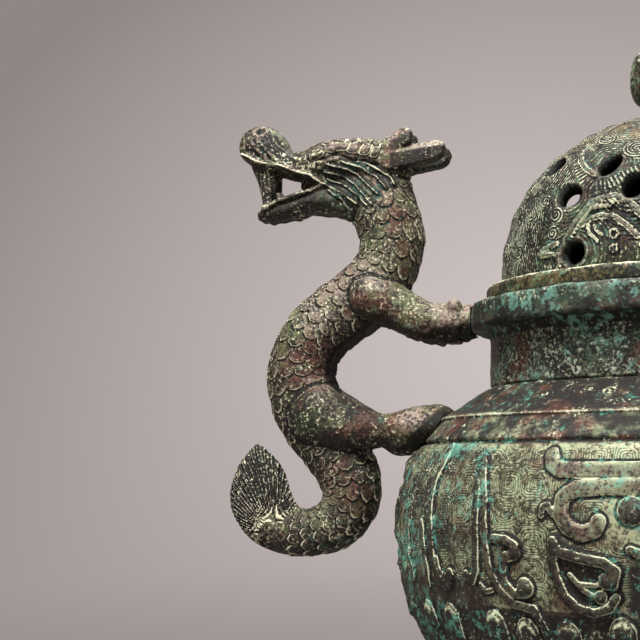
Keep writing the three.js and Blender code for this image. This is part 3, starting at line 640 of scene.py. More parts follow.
def whorlLines(sheet, place):  # square whorls cut into the ground of the belly
    across, level = sheet.mark("across"), sheet.mark("level")
    wide, high = bowl["whorlCell"]
    unsteady = (sheet.noise(place, 7, 2) - 0.5) * 0.22
    middle, middleLevel = bowl["whorlMiddle"]
    x = ((across - middle) / wide + 20.5 + unsteady).sum("FRACT") - 0.5
    z = ((level - middleLevel) / high + 20.5 + unsteady).sum("FRACT") - 0.5
    square = (x.sum("POWER", 4.0) + z.sum("POWER", 4.0)).sum("POWER", 0.25)
    around = x.sum("ARCTAN2", z) / (2 * math.pi)
    lines = (square * (high / bowl["whorlPitch"]) + around).wave()
    return lines.between(0.15, 0.6), sheet.mark("ground")


def bowlMarks(turned, points, forms, degrees, outside, shown, crusty):  # where the bowl is weathered
    level = turned.level
    wornAndLit = weathered(points, turned.faces, 3, 0.35)
    marks = {key: np.where(shown, value, 0.12) for key, value in wornAndLit.items()}
    low, high = bowl["whorlLevels"]
    upperGround = ease((level - low) / 2) * ease(high - level)
    marks["ground"] = np.where(outside, (1 - forms["raised"]) * upperGround, 0)
    least, at = bowl["bandEdge"]
    bandEdge = ridge(level - at, 0.5) * (turned.radius > least) * shown
    # painted shadow under the band's lower edge
    least, at = bowl["bandFoot"]
    underBand = ridge(level - at, 0.9) * (turned.radius > least) * shown
    marks["crustAndHighlight"] = np.maximum(forms["crustAndHighlight"], 0.7 * bandEdge)
    marks["shadeAndSoot"] = np.maximum(forms["shadeAndSoot"], 0.9 * underBand)
    marks["highlightAndWear"] = forms["highlightAndWear"]
    marks["rim"] = np.where(outside & (crusty < 0.5), np.clip(forms["rim"], noRim, -noRim), noRim)
    # painted shade on the underside and on the flanks away from the front
    underside = turned.row < turned.row[outside].min()
    sideways = np.where(underside, 1, ease((degrees - bowl["sideShadeFrom"]) / 18) * outside)
    marks["shadeAndSoot"] = np.maximum(marks["shadeAndSoot"], 0.84 * sideways * ease(0.52 + 0.7 * grain(points, 5, 7)))
    marks["verdigris"] = sideways * (0.5 + grain(points, 9, 76))
    onBand = shown & (level > bowl["bandLevel"])
    ruddy = ease(0.35 + 1.8 * grain(points, 6, 72))
    mottle = np.where(level > bowl["shoulderLevel"], 1.2, 0.82) - 0.5 * ruddy
    mottle += 0.5 * grain(points, 5.5, 71) + 0.5 * grain(points, 1.8, 74)
    mottle = np.clip(mottle, 0.05, 0.98)
    marks["rust"] = np.where(onBand, 2.2 * ruddy - 0.2, 0.6 * forms["shadeAndSoot"])
    marks["shadeAndSoot"] = np.maximum(marks["shadeAndSoot"], np.where(onBand, mottle * (1 - bandEdge), 0))
    marks["lichen"] = np.where(onBand, 0.9 * grain(points, 7, 75), 0)
    beside = np.exp(-((degrees - 90) / 7) ** 2) + 0.7 * ease((bowl["neckFootRadius"] - turned.radius) / 1.6)
    patches = 0.4 * ease(2 * grain(points, 3.2, 73) - 0.3)
    patches += 0.5 * beside * ease(0.5 + grain(points, 2.4, 77))
    marks["crustAndHighlight"] = np.maximum(marks["crustAndHighlight"], np.where(onBand, patches, 0))
    marks["speckle"] = np.where(onBand, 0.42, 0.7 * marks["shadeAndSoot"] * (outside | underside))
    marks["across"] = degrees
    marks["level"] = level
    return marks


def makeBowl():
    belly, level, depth = bowl["bellyRadius"], bowl["bellyLevel"], bowl["bellyDepth"]
    topRadius, topLevel = bowl["bellyTop"]
    upper = (topLevel - level) / math.sqrt(1 - (topRadius / belly) ** 2)
    lower = oval(level, belly, depth, -math.pi / 2 + 0.012, -0.88)
    carved = np.vstack([oval(level, belly, depth, -0.88, 0),
                        oval(level, belly, upper, 0.01, math.asin((topLevel - level) / upper))])
    wall = bowl["wall"]
    underBand = bowl["mouth"][-1]
    inside = belly - wall
    insideRise = (underBand[1] - level) / math.sqrt(1 - (underBand[0] / inside) ** 2)
    inner = np.vstack([oval(level, inside, insideRise, math.acos(underBand[0] / inside), 0.02),
                       oval(level, inside, depth - wall, 0, -math.pi / 2 + 0.012)])
    fine, coarse = bowl["columns"], bowl["columns"] // 4
    rows, counts = joinedRows([
        (lower, 4.0, coarse),
        (carved, bowl["fine"], fine),
        ([tuple(carved[-1])] + bowl["band"], 0.8, fine),
        (bowl["shoulder"], 0.9, fine),
        (bowl["mouth"], 3.0, coarse),
        (inner, 6.0, coarse),
    ])
    turned = Turned(rows, counts)
    isCarved = np.where((counts == fine) & (rows[:, 1] < topLevel + 0.01))[0]
    forms, u, outside = bowlRelief(turned, isCarved)
    points = turned.points()
    shown = counts[turned.row] == fine
    dents = 0.22 * grain(points, 14, 3) + 0.16 * grain(points, 4.5, 4) + 0.12 * grain(points, 2.2, 8)
    crusty = ease((u / perDegree - bowl["crustFrom"]) / 8) * outside
    lumps = np.clip(grain(points, 4.2, 5), 0, 1) + 0.5 * np.clip(grain(points, 2.2, 6), 0, 1)
    bulk = sum(ridge(turned.level - middle, reach) for middle, reach in bowl["crustLevels"])
    dents += crusty * (1.7 * lumps - 0.6 + 0.9 * bulk) * ease((topLevel - 0.1 - turned.level) / 3)
    points = turned.points(forms["height"] * (1 - 0.6 * crusty) + dents * np.where(shown, 1, 0.3))
    soft = relaxed(points, turned.faces, 1, 0.45)
    points = np.where(outside[:, None], soft, points)
    marks = bowlMarks(turned, points, forms, u / perDegree, outside, shown, crusty)
    finish = bronze("bowl green bronze", bowlLook, whorlLines)
    faces, uv = turned.faces, turned.map()
    addPiece("censer_bowl", "bowl", points, faces, marks, finish, "vessel", uv)


bowlLook = {
    "dark": colour(80, 80, 60),
    "brown": colour(188, 189, 152),
    "red": colour(104, 58, 44),
    "green": colour(148, 166, 126),
    "teal": colour(100, 172, 150),
    "pale": colour(216, 218, 184),
    "wornAndLit": colour(176, 158, 146),
    "greenShare": 0.65,
    "redShare": 0.6,
    "tealShare": 0.55,
    "shadeAndSoot": colour(26, 22, 18),
    "wornAndLitShare": 0.4,
    "hollowPale": 0.0,
    "edgePale": 0.2,
    "hollowShade": 0.6,
    "rimStep": 1.2,
    "rimWide": 0.27,
    "pits": 0.5,
    "grains": 0.2,
}
makeBowl()


# Neck with its rim and the two tongues that the forepaws grip
neck = {
    "outline": [(63.4, 179.1), (66.1, 179.1), (66.1, 184.4), (68.2, 184.4), (68.4, 184.6), (68.4, 200.6),
                (68.8, 203.0), (70.0, 204.6), (71.9, 205.1), (74.2, 205.1), (75.1, 205.5), (75.4, 206.4),
                (75.4, 213.4), (75.1, 214.3), (74.2, 214.7), (63.8, 214.7), (63.4, 214.4), (63.4, 179.4)],
    "columns": 480,
    "rimLevel": 201,
    "lidLevel": 208,
    "footLevel": 187.4,
    "tongue": {"root": 70.0, "tip": 87.4, "half": 6.5, "thick": 2.5, "level": 209.9, "round": 4.0},
}
neckLook = {
    "dark": colour(38, 42, 36),
    "brown": colour(92, 97, 80),
    "red": colour(94, 56, 42),
    "green": colour(66, 100, 76),
    "teal": colour(108, 156, 140),
    "pale": colour(186, 190, 164),
    "greenShare": 0.6,
    "tealShare": 0.7,
    "redShare": 0.6,
    "wornAndLitShare": 0.12,
    "hollowPale": 0.2,
    "edgePale": 0.15,
    "hollowShade": 0.4,
    "pits": 0.75,
    "grains": 0.3,
}


def makeNeck():
    rows, counts = joinedRows([(neck["outline"], 1.0, neck["columns"])])
    turned = Turned(rows, counts, ring=True)
    points = turned.points()
    dents = 0.25 * grain(points, 9, 11) + 0.2 * grain(points, 3.4, 12)
    points = turned.points(np.where(turned.radius > 67, dents, 0))
    marks = weathered(points, turned.faces, 10, 0.3)
    faces, uv = turned.faces, turned.map()
    for degrees in (0, 180):
        tongue, sides = tonguePlate(len(points))
        points = np.vstack([points, turnedBy(tongue, degrees)])
        faces = faces + sides
        uv = np.vstack([uv, np.full((sum(f.size for f in sides), 2), 0.002)])
    marks = {key: np.pad(value, (0, len(points) - len(value))) for key, value in marks.items()}
    level = points[:, 2]
    onRim = ease(level - neck["rimLevel"])
    underLid = ease((level - neck["lidLevel"]) / 4)
    marks["shadeAndSoot"] = onRim * np.clip(0.62 - 0.3 * underLid + 0.6 * grain(points, 4, 61), 0, 0.9)
    marks["speckle"] = (1 - onRim) * (1.2 + 0.5 * grain(points, 7, 64)) + 0.7 * underLid
    marks["lichen"] = underLid * (0.6 + grain(points, 6, 66))
    foot = ease((neck["footLevel"] - level) / 2.4) * ease(0.5 + grain(points, 3, 62))
    marks["crustAndHighlight"] = 0.5 * foot
    marks["rust"] = 0.9 * grain(points, 9, 63)
    marks["verdigris"] = 1.2 * grain(points, 11, 65) + 0.4 * underLid
    finish = bronze("neck dark bronze", neckLook)
    addPiece("neck_and_rim", "neck_collar", points, faces, marks, finish, "vessel", uv)


def tonguePlate(start):  # a flat tongue with a round end, rooted in the rim
    form = neck["tongue"]
    tip, half = form["tip"], form["half"]
    bend = [(tip - form["round"] + form["round"] * math.cos(t), half * math.sin(t))
            for t in np.linspace(-math.pi / 2, math.pi / 2, 13)]
    outline = np.array([(form["root"], -half)] + bend + [(form["root"], half)])
    n = len(outline)
    low = np.column_stack([outline, np.full(n, form["level"] - form["thick"])])
    high = np.column_stack([outline, np.full(n, form["level"] + form["thick"])])
    k = np.arange(n)
    k2 = (k + 1) % n
    sides = np.stack([k, k2, k2 + n, k + n], 1) + start
    return np.vstack([low, high]), [sides, k[::-1][None] + start, (k + n)[None] + start]


def turnedBy(points, degrees):
    c, s = math.cos(math.radians(degrees)), math.sin(math.radians(degrees))
    x, y, z = points.T
    return np.stack([x * c - y * s, x * s + y * c, z], 1)


makeNeck()


# Lid: a pierced dome on a flange, with scrolls, a hatched collar and combed hair in low relief
lid = {
    "flange": [(62.8, 207.0), (62.8, 215.0), (68.8, 215.0), (69.4, 215.3), (69.6, 215.9), (69.6, 220.0),
               (69.4, 220.7), (68.8, 221.0), (64.6, 221.0), (64.0, 221.4)],
    "dome": 64.0,
    "inside": 60.0,
    "centre": 221.0,
    "crown": (7.2, 3.2),
    "polar": (89.6, 8.3),  # degrees from the axis at the dome's foot and crown
    "columns": 528,
    "fine": 0.76,
    "strand": 1.25,
    "coil": 1.25,
    "contour": 1.35,
    "clusters": 2,
    "hair": (34, 63, 24),  # combed hair: side, foot and top, all in degrees
    "wavesFrom": 44,
    "crestTop": 30,
    "holes": [(12.4, 65.4, 4.9, 3.7, -1.0), (22.7, 56, 5.2, 3.6, -1.1), (36.2, 65.8, 5.3, 4.3, 0.2),
              (31.4, 85, 4.3, 3.9, -0.4), (55.4, 50.4, 5.8, 4.5, 0.0)],
}
lidStrokes = [  # path in degrees from the cluster's middle and from the axis, width, height
    ([(37, 88.4), (35.2, 83.3), (33, 78.9), (30.9, 75.4), (27.7, 71.7), (23.8, 69.2), (18.3, 68.6),
      (14.3, 70.6), (10.3, 74.8), (5, 79), (0, 80.6)], 2.3, 0.9),
    ([(29.1, 76.8), (26, 75.2), (22.2, 74.6), (17.6, 75.6), (13.9, 78.6), (10.7, 82)], 1.7, 0.7),
    ([(27, 70.6), (25.6, 69), (21, 68.6), (17.7, 69.7), (18.9, 71), (22.5, 71.4), (26, 71.6),
      (27, 70.6)], 0.8, 1.4),
    ([(41.5, 46), (40.6, 48), (36.6, 52.7), (31.6, 57.1), (27.2, 59.7)], 1.9, 0.9),
    ([(45.1, 83.9), (43.1, 82.4), (37.7, 81.5)], 1.5, 1.1),
    ([(45.1, 84.1), (40.8, 84.5), (37.4, 85.1), (36.4, 86.9)], 1.5, 1.1),
    ([(26.6, 76.6), (26, 79.5), (23, 82.4)], 0.7, 0.7),
    ([(24.4, 77.4), (23.6, 79), (21.6, 80.6)], 0.5, 0.6),
    ([(8, 70), (4, 73), (0, 74)], 2.4, 0.9),
    ([(9.6, 84.6), (5, 87), (0, 87.6)], 1.6, 0.8),
]
lidGrooves = [([(34.3, 84.4), (32.8, 81.4), (30.3, 77), (25.5, 72.8), (21.6, 72.1), (17, 73), (14, 75.4),
                (10.2, 78.5), (5, 82.4), (0, 83.6)], 1.5, 1.0)]
lidCollar = ([(37, 54), (34.5, 57.5), (30.7, 61.8), (26.4, 64.4), (21.3, 64.3), (16.8, 62.4), (11.6, 60.2),
              (5, 59), (0, 59)], 5.4, 1.5)
lidRings = [(18, 80.6, 2.0), (17.8, 85, 1.6), (7.6, 82.6, 1.5)]
lidScrolls = [(39.6, 72, 3.9), (39.8, 77.9, 3.5), (13.4, 50.4, 6.0), (46.6, 66.4, 3.2),
              (52.6, 73.4, 3.8), (57, 81.4, 3.6), (30, 42.6, 4.6), (8, 36, 4.4),
              (50, 36.4, 4.6), (26, 27.4, 4.2), (56, 25.4, 4.4), (65, 67, 3.6),
              (70, 79, 3.8), (68, 56, 3.4), (77, 66, 3.8), (84, 77, 3.6), (82, 54, 4.2),
              (72, 43, 4.4), (88, 35, 4.4)]  # place, radius


def lidPlace(aside, fromAxis):
    aside, fromAxis = np.radians(aside), np.radians(fromAxis)
    return lid["dome"] * aside * np.sin(fromAxis), lid["dome"] * (np.pi / 2 - fromAxis)


def onLid(path):
    return [lidPlace(a, b) for a, b in path]


def lidRelief(aside, fromAxis):
    u, v = lidPlace(aside, fromAxis)
    hairSide, hairFoot, hairTop = lid["hair"]
    combed = 0.81 * u + 0.585 * v + 0.4 * np.sin(v * 0.4)
    swept = np.where(fromAxis < hairFoot, combed, u + 0.5 * np.sin(v * 0.55))
    stripe = swept / lid["strand"]
    hair = ease((aside - hairSide) / 3) * ease((hairFoot - fromAxis) / 2) * ease((fromAxis - hairTop) / 4)
    waves = ease((aside - lid["wavesFrom"]) / 3) * ease((fromAxis - hairFoot) / 2)
    crest = ease((lid["crestTop"] - fromAxis) / 3)
    striped = np.maximum(np.maximum(hair, waves), crest)
    # lines that follow the holes' edges where nothing else is carved
    nearHole = np.full(u.shape, 99.0)
    for aside0, axis0, wide, high, lean in lid["holes"]:
        cu, cv = lidPlace(aside0, axis0)
        nearHole = np.minimum(nearHole, np.hypot(u - cu, v - cv) - (wide + high) / 2)
    stripe = np.where(striped > 0.3, stripe, nearHole / lid["contour"])
    striped = np.maximum(striped, 0.55)
    height = np.zeros(u.shape)
    coilU, coilV, coiled = np.zeros((3,) + u.shape)
    for aside0, axis0, radius in lidScrolls:
        cu, cv = lidPlace(aside0, axis0)
        d = np.hypot(u - cu, v - cv)
        inside = ease((radius - d) / 0.5)
        coilU = np.where(inside > 0, u - cu, coilU)
        coilV = np.where(inside > 0, v - cv, coilV)
        coiled = np.maximum(coiled, inside)
        height = np.maximum(height, 0.5 * ease((radius - d) / 1.4) + 0.3 * ridge(d - radius, 0.9))
    path, width, pitch = lidCollar
    d, share = pathPlace(u, v, onLid(path))
    length = np.hypot(*np.diff(np.array(onLid(path)), axis=0).T).sum()
    inside = ease((width / 2 - d) / 0.6)
    stripe = np.where(inside > 0.5, share * length / pitch, stripe)
    striped = np.maximum(striped, inside)
    coiled = coiled * (1 - inside)
    height = height * (1 - inside) + inside * 0.6
    height += 0.5 * ridge(d - width / 2 - 0.3, 0.8)
    rim = np.full(u.shape, noRim)
    # painted shade in the grooves, in the rings' middles and round the holes
    dark = np.zeros(u.shape)
    for path, width, depth in lidGrooves:
        d = nearPath(u, v, onLid(path))
        height -= depth * ridge(d, width)
        dark = np.maximum(dark, 0.85 * ridge(d, width))
    for path, width, high in lidStrokes:
        d = nearPath(u, v, onLid(path))
        flat = ease((width / 2 + 0.35 - d) / 0.7)
        height = np.maximum(height, height * (1 - flat) + high * flat)
        striped = striped * (1 - flat)
        coiled = coiled * (1 - flat)
        rim = np.maximum(rim, width / 2 + 0.2 - d)
    for aside0, axis0, radius in lidRings:
        cu, cv = lidPlace(aside0, axis0)
        d = np.hypot(u - cu, v - cv)
        inside = ease((radius + 1 - d) / 0.5)
        height = height * (1 - inside) + inside * (1.0 * ridge(d - radius * 0.75, 0.9) - 0.2)
        rim = np.maximum(rim, 0.3 - np.abs(d - radius * 0.75))
        dark = np.maximum(dark, 0.8 * ease((radius * 0.5 - d) / 0.5))
    for aside0, axis0, wide, high, lean in lid["holes"]:
        cu, cv = lidPlace(aside0, axis0)
        a, b = leaned(u - cu, v - cv, lean)
        d = np.hypot(a / wide, b / high)
        clear = ease((d - 1) / 0.25)
        height = height * clear + 0.2 * ridge(d - 1.3, 0.2) - 0.4 * (1 - clear)
        striped, coiled = striped * clear, coiled * clear
        rim = np.where(d < 1.3, noRim, rim)
        dark = np.maximum(dark, 0.9 * ease((1.2 - d) / 0.2))
    fade = ease((91 - fromAxis) / 2) * ease((fromAxis - 10) / 3)
    fullness = 0.85 * np.exp(-((fromAxis - 60) / 17) ** 2) - 0.8 * ease((34 - fromAxis) / 16)
    return {"height": (height + fullness) * fade, "stripe": stripe, "striped": striped * fade,
            "coilU": coilU, "coilV": coilV, "coiled": coiled * fade, "rim": rim, "shadeAndSoot": dark}


def lidLines(sheet, place):  # combed hair and coiled scrolls
    unsteady = (sheet.noise(place, 5, 2) - 0.5) * 0.5
    u, v = sheet.mark("coilU"), sheet.mark("coilV")
    around = u.sum("ARCTAN2", v) / (2 * math.pi)
    apart = (u * u + v * v).sum("SQRT")
    coil = (apart / lid["coil"] + around).wave()
    strand = (sheet.mark("stripe") + unsteady).wave()
    coiled = sheet.mark("coiled")
    lines = coil * coiled + strand * (1 - coiled)
    ground = (coiled + sheet.mark("striped")).clipped()
    return lines.between(0.25, 0.75), ground


def pierced(grid):  # the dome's cells that the holes take, and the grid drawn to their edges
    count, n = grid.shape[:2]
    gone = np.zeros((count - 1, n), bool)
    moved = grid.copy()
    for k in range(lid["clusters"]):
        for aside0, axis0, wide, high, lean in lid["holes"]:
            for side in (-1, 1):
                azimuth = math.radians(270 + 360 * k / lid["clusters"] - side * aside0)
                tilt = math.radians(axis0)
                centre = np.array([math.sin(tilt) * math.cos(azimuth), math.sin(tilt) * math.sin(azimuth),
                                   math.cos(tilt)])
                east = np.array([math.sin(azimuth), -math.cos(azimuth), 0]) * side
                north = np.cross(np.cross(centre, (0, 0, 1)), centre)
                north /= np.linalg.norm(north)
                long, cross = leaned(east, north, lean)
                near = grid @ centre > 0.9
                a = lid["dome"] * (grid @ long)
                b = lid["dome"] * (grid @ cross)
                d = np.where(near, np.hypot(a / wide, b / high), 9)
                middle = (d[:-1] + d[1:] + np.roll(d, -1, 1)[:-1] + np.roll(d, -1, 1)[1:]) / 4
                hole = middle < 1
                gone |= hole
                cellsAround = np.zeros(d.shape, int)
                for down in (0, 1):
                    cellsAround[down:down + count - 1] += hole
                    cellsAround[down:down + count - 1] += np.roll(hole, 1, 1)
                rimmed = (cellsAround > 0) & (cellsAround < 4)
                scale = (1 / d[rimmed])[:, None]
                flat = (a[rimmed][:, None] * long + b[rimmed][:, None] * cross) / lid["dome"] * scale
                lift = np.sqrt(np.maximum(1 - (flat ** 2).sum(1), 0))[:, None]
                moved[rimmed] = flat + lift * centre
    return gone, moved


def lidMarks(points, faces, forms):  # where the lid is weathered, and painted shade inside it
    level = points[:, 2]
    marks = weathered(points, faces, 3, 0.3)
    fromCentre = np.linalg.norm(points - (0, 0, lid["centre"]), axis=1)
    inner = fromCentre < lid["inside"] + 1
    marks = {key: np.where(inner, 0, value) for key, value in marks.items()}
    marks.update(forms)
    marks["edge"] *= 1 - marks["shadeAndSoot"]
    # painted shade over the lid's inside, which also darkens the hole walls
    marks["shadeAndSoot"] = np.where(inner, 0.95, marks["shadeAndSoot"])
    flangeTop = lid["centre"]
    onFlange = (level < flangeTop + 0.3) & (fromCentre > lid["dome"] + 0.5)
    marks["ochre"] = np.where(onFlange, 0.2, 0.5 * ease((level - 262) / 8))
    broken = 0.3 + 0.55 * ease(0.55 + 1.2 * grain(points, 3, 34))
    marks["crustAndHighlight"] = np.where(onFlange, broken * ease((level - flangeTop + 1) / 0.6), 0)
    crest = 0.45 * ease((level - 258) / 12) * ease(0.5 + grain(points, 6, 33))
    flangeSide = 0.2 * ease((flangeTop - 0.6 - level) / 0.4)
    marks["shadeAndSoot"] = np.maximum(marks["shadeAndSoot"], np.where(onFlange, flangeSide, crest))
    return marks


def makeLid():
    atFoot, atCrown = lid["polar"]
    count = int((90 - atCrown) * math.radians(lid["dome"]) / lid["fine"])
    polar = np.radians(np.linspace(atFoot, atCrown, count))
    n = lid["columns"]
    flange = spaced(lid["flange"], 0.9)
    arc = np.stack([np.sin(polar), np.cos(polar)], 1)
    shell = lid["dome"] * arc + (0, lid["centre"])
    lining = lid["inside"] * arc[::-1] + (0, lid["centre"])
    edge, bore = lid["crown"]
    top = [(edge, shell[-1, 1]), (bore, shell[-1, 1]), (bore, lining[0, 1]), (edge, lining[0, 1])]
    foot = [(lid["inside"], 216.0), (lid["inside"], lid["flange"][0][1])]
    rows = np.vstack([flange, shell, top, lining, foot])
    turned = Turned(rows, np.full(len(rows), n), ring=True)
    first = len(flange)
    liningFirst = first + count + len(top)
    outer = (turned.row >= first) & (turned.row < first + count)
    fromAxis = np.degrees(np.arctan2(turned.radius, turned.level - lid["centre"]))
    sector = 360 / lid["clusters"]
    aside = np.abs((turned.turn * 360 - 270 + sector / 2) % sector - sector / 2)
    forms = {}
    for key, value in lidRelief(aside[outer], fromAxis[outer]).items():
        forms[key] = np.full(len(aside), noRim if key == "rim" else 0.0)
        forms[key][outer] = value
    height = forms.pop("height")
    points = turned.points()
    dents = 0.16 * grain(points, 8, 31) + 0.12 * grain(points, 3, 32)
    shown = turned.row < first + count
    core = (0, 0, lid["centre"])
    direction = (points - core) / np.linalg.norm(points - core, axis=1)[:, None]
    grid = direction[outer].reshape(count, n, 3)
    gone, moved = pierced(grid)
    outerAt = np.flatnonzero(outer).reshape(count, n)
    liningAt = turned.base[liningFirst:liningFirst + count][::-1, None] + np.arange(n)
    points = turned.points(np.where(shown, dents, 0))
    heightGrid = (height + dents)[outer].reshape(count, n)
    points[outerAt] = (lid["dome"] + heightGrid)[:, :, None] * moved + core
    points[liningAt] = lid["inside"] * moved + core
    quads = turned.faces[0]
    row = np.arange(len(quads)) // n
    shellCell = (row >= first) & (row < first + count - 1)
    liningCell = (row >= liningFirst) & (row < liningFirst + count - 1)
    drop = np.zeros(len(quads), bool)
    drop[shellCell] = gone.ravel()
    drop[liningCell] = gone[::-1].ravel()
    bridges = []
    r, c = np.nonzero(gone)
    c2 = (c + 1) % n
    ring = [((r, c), (r, c2), r - 1, c), ((r, c2), (r + 1, c2), r, c2), ((r + 1, c2), (r + 1, c), r + 1, c),
            ((r + 1, c), (r, c), r, (c - 1) % n)]
    for start, end, nr, nc in ring:
        free = ~gone[nr, nc]
        s, e = (start[0][free], start[1][free]), (end[0][free], end[1][free])
        bridges.append(np.stack([outerAt[s], outerAt[e], liningAt[e], liningAt[s]], 1))
    quads = np.vstack([quads[~drop]] + bridges)
    used = np.zeros(len(points), bool)
    used[quads.ravel()] = True
    renumber = np.cumsum(used) - 1
    faces = [renumber[quads]]
    points = points[used]
    marks = lidMarks(points, faces, {key: value[used] for key, value in forms.items()})
    finish = bronze("lid green bronze", lidLook, lidLines)
    uv = roundMap(faces, turned.turn[used], turned.rise[used])
    addPiece("pierced_lid", "lid", points, faces, marks, finish, "cover", uv)


lidLook = {
    "dark": colour(29, 34, 25),
    "brown": colour(82, 88, 64),
    "green": colour(80, 112, 82),
    "teal": colour(98, 154, 132),
    "pale": colour(218, 216, 182),
    "greenShare": 0.6,
    "tealShare": 0.45,
    "ochreShare": 0.6,
    "wornAndLitShare": 0.3,
    "hollowPale": 0.0,
    "edgePale": 0.3,
    "hollowShade": 0.8,
    "whorlDepth": 2.0,
    "whorlDark": 1.0,
    "whorlPale": 0.54,
    "rimStep": 1.0,
}
makeLid()


# Finial: a lobed bud on a waisted stem, with a tang that passes the crown into the rove
finial = {
    "foot": 284.6,
    "height": 32.0,
    "outline": [(0.0, 8.6), (0.03, 8.7), (0.06, 8.0), (0.11, 6.6), (0.15, 8.6), (0.2, 11.9), (0.31, 13.8),
                (0.45, 14.2), (0.64, 13.5), (0.8, 10.8), (0.93, 6.0), (0.985, 2.2), (1.0, 0.4)],
    "tang": [(0.4, 272.9), (3.6, 272.9), (4.2, 273.5), (4.2, 274.6), (2.9, 274.7), (2.9, 284.5)],
    "rove": [(3.2, 278.2), (7.0, 278.2), (7.4, 278.5), (7.2, 280.0), (7.0, 280.2), (3.2, 280.2)],
    "petals": 8,
    "lobe": 0.9,
    "columns": 192,
}


def makeFinial():
    share, radius = np.array(finial["outline"]).T
    outline = threaded(np.stack([radius, finial["foot"] + share * finial["height"]], 1), 5)
    bud = np.vstack([finial["tang"][-1:], outline])
    rows, counts = joinedRows([(finial["tang"], 1.2, 48), (bud, 0.6, finial["columns"])])
    turned = Turned(rows, counts)
    up = np.clip((turned.level - finial["foot"]) / finial["height"], 0, 1)
    petal = wave(turned.turn * finial["petals"])
    swell = ease((up - 0.13) / 0.1) * ease((0.97 - up) / 0.3)
    outerPetal = ease((0.62 + 0.2 * (1 - petal) - up) / 0.04)
    height = swell * (-finial["lobe"] * ease((0.3 - petal) / 0.3) + 0.7 * outerPetal)
    veins = wave(turned.turn * finial["petals"] * 5)
    height -= swell * 0.25 * ease((0.4 - veins) / 0.4) * ease((petal - 0.25) / 0.2)
    points = turned.points(np.where(turned.level > finial["foot"], height, 0))
    points = pushed(points, turned.faces, 0.12 * grain(points, 3, 41) * swell)
    marks = weathered(points, turned.faces, 8, 0.35)
    finish = bronze("finial green bronze", {**lidLook, "greenShare": 0.7, "rimStep": 0})
    faces, uv = turned.faces, turned.map()
    addPiece("bud_finial", "finial_bud", points, faces, marks, finish, "cover", uv)


def makeRove():  # the washer that the tang is peened over
    rows, counts = joinedRows([(finial["rove"] + finial["rove"][:1], 0.5, 64)])
    turned = Turned(rows[:-1], counts[:-1], ring=True)
    points = turned.points()
    points = pushed(points, turned.faces, 0.08 * grain(points, 2, 43))
    marks = weathered(points, turned.faces, 4, 0.3)
    finish = bronze("rove dark bronze", neckLook)
    faces, uv = turned.faces, turned.map()
    addPiece("tang_rove", "finial_rove", points, faces, marks, finish, "cover", uv)


makeFinial()
makeRove()


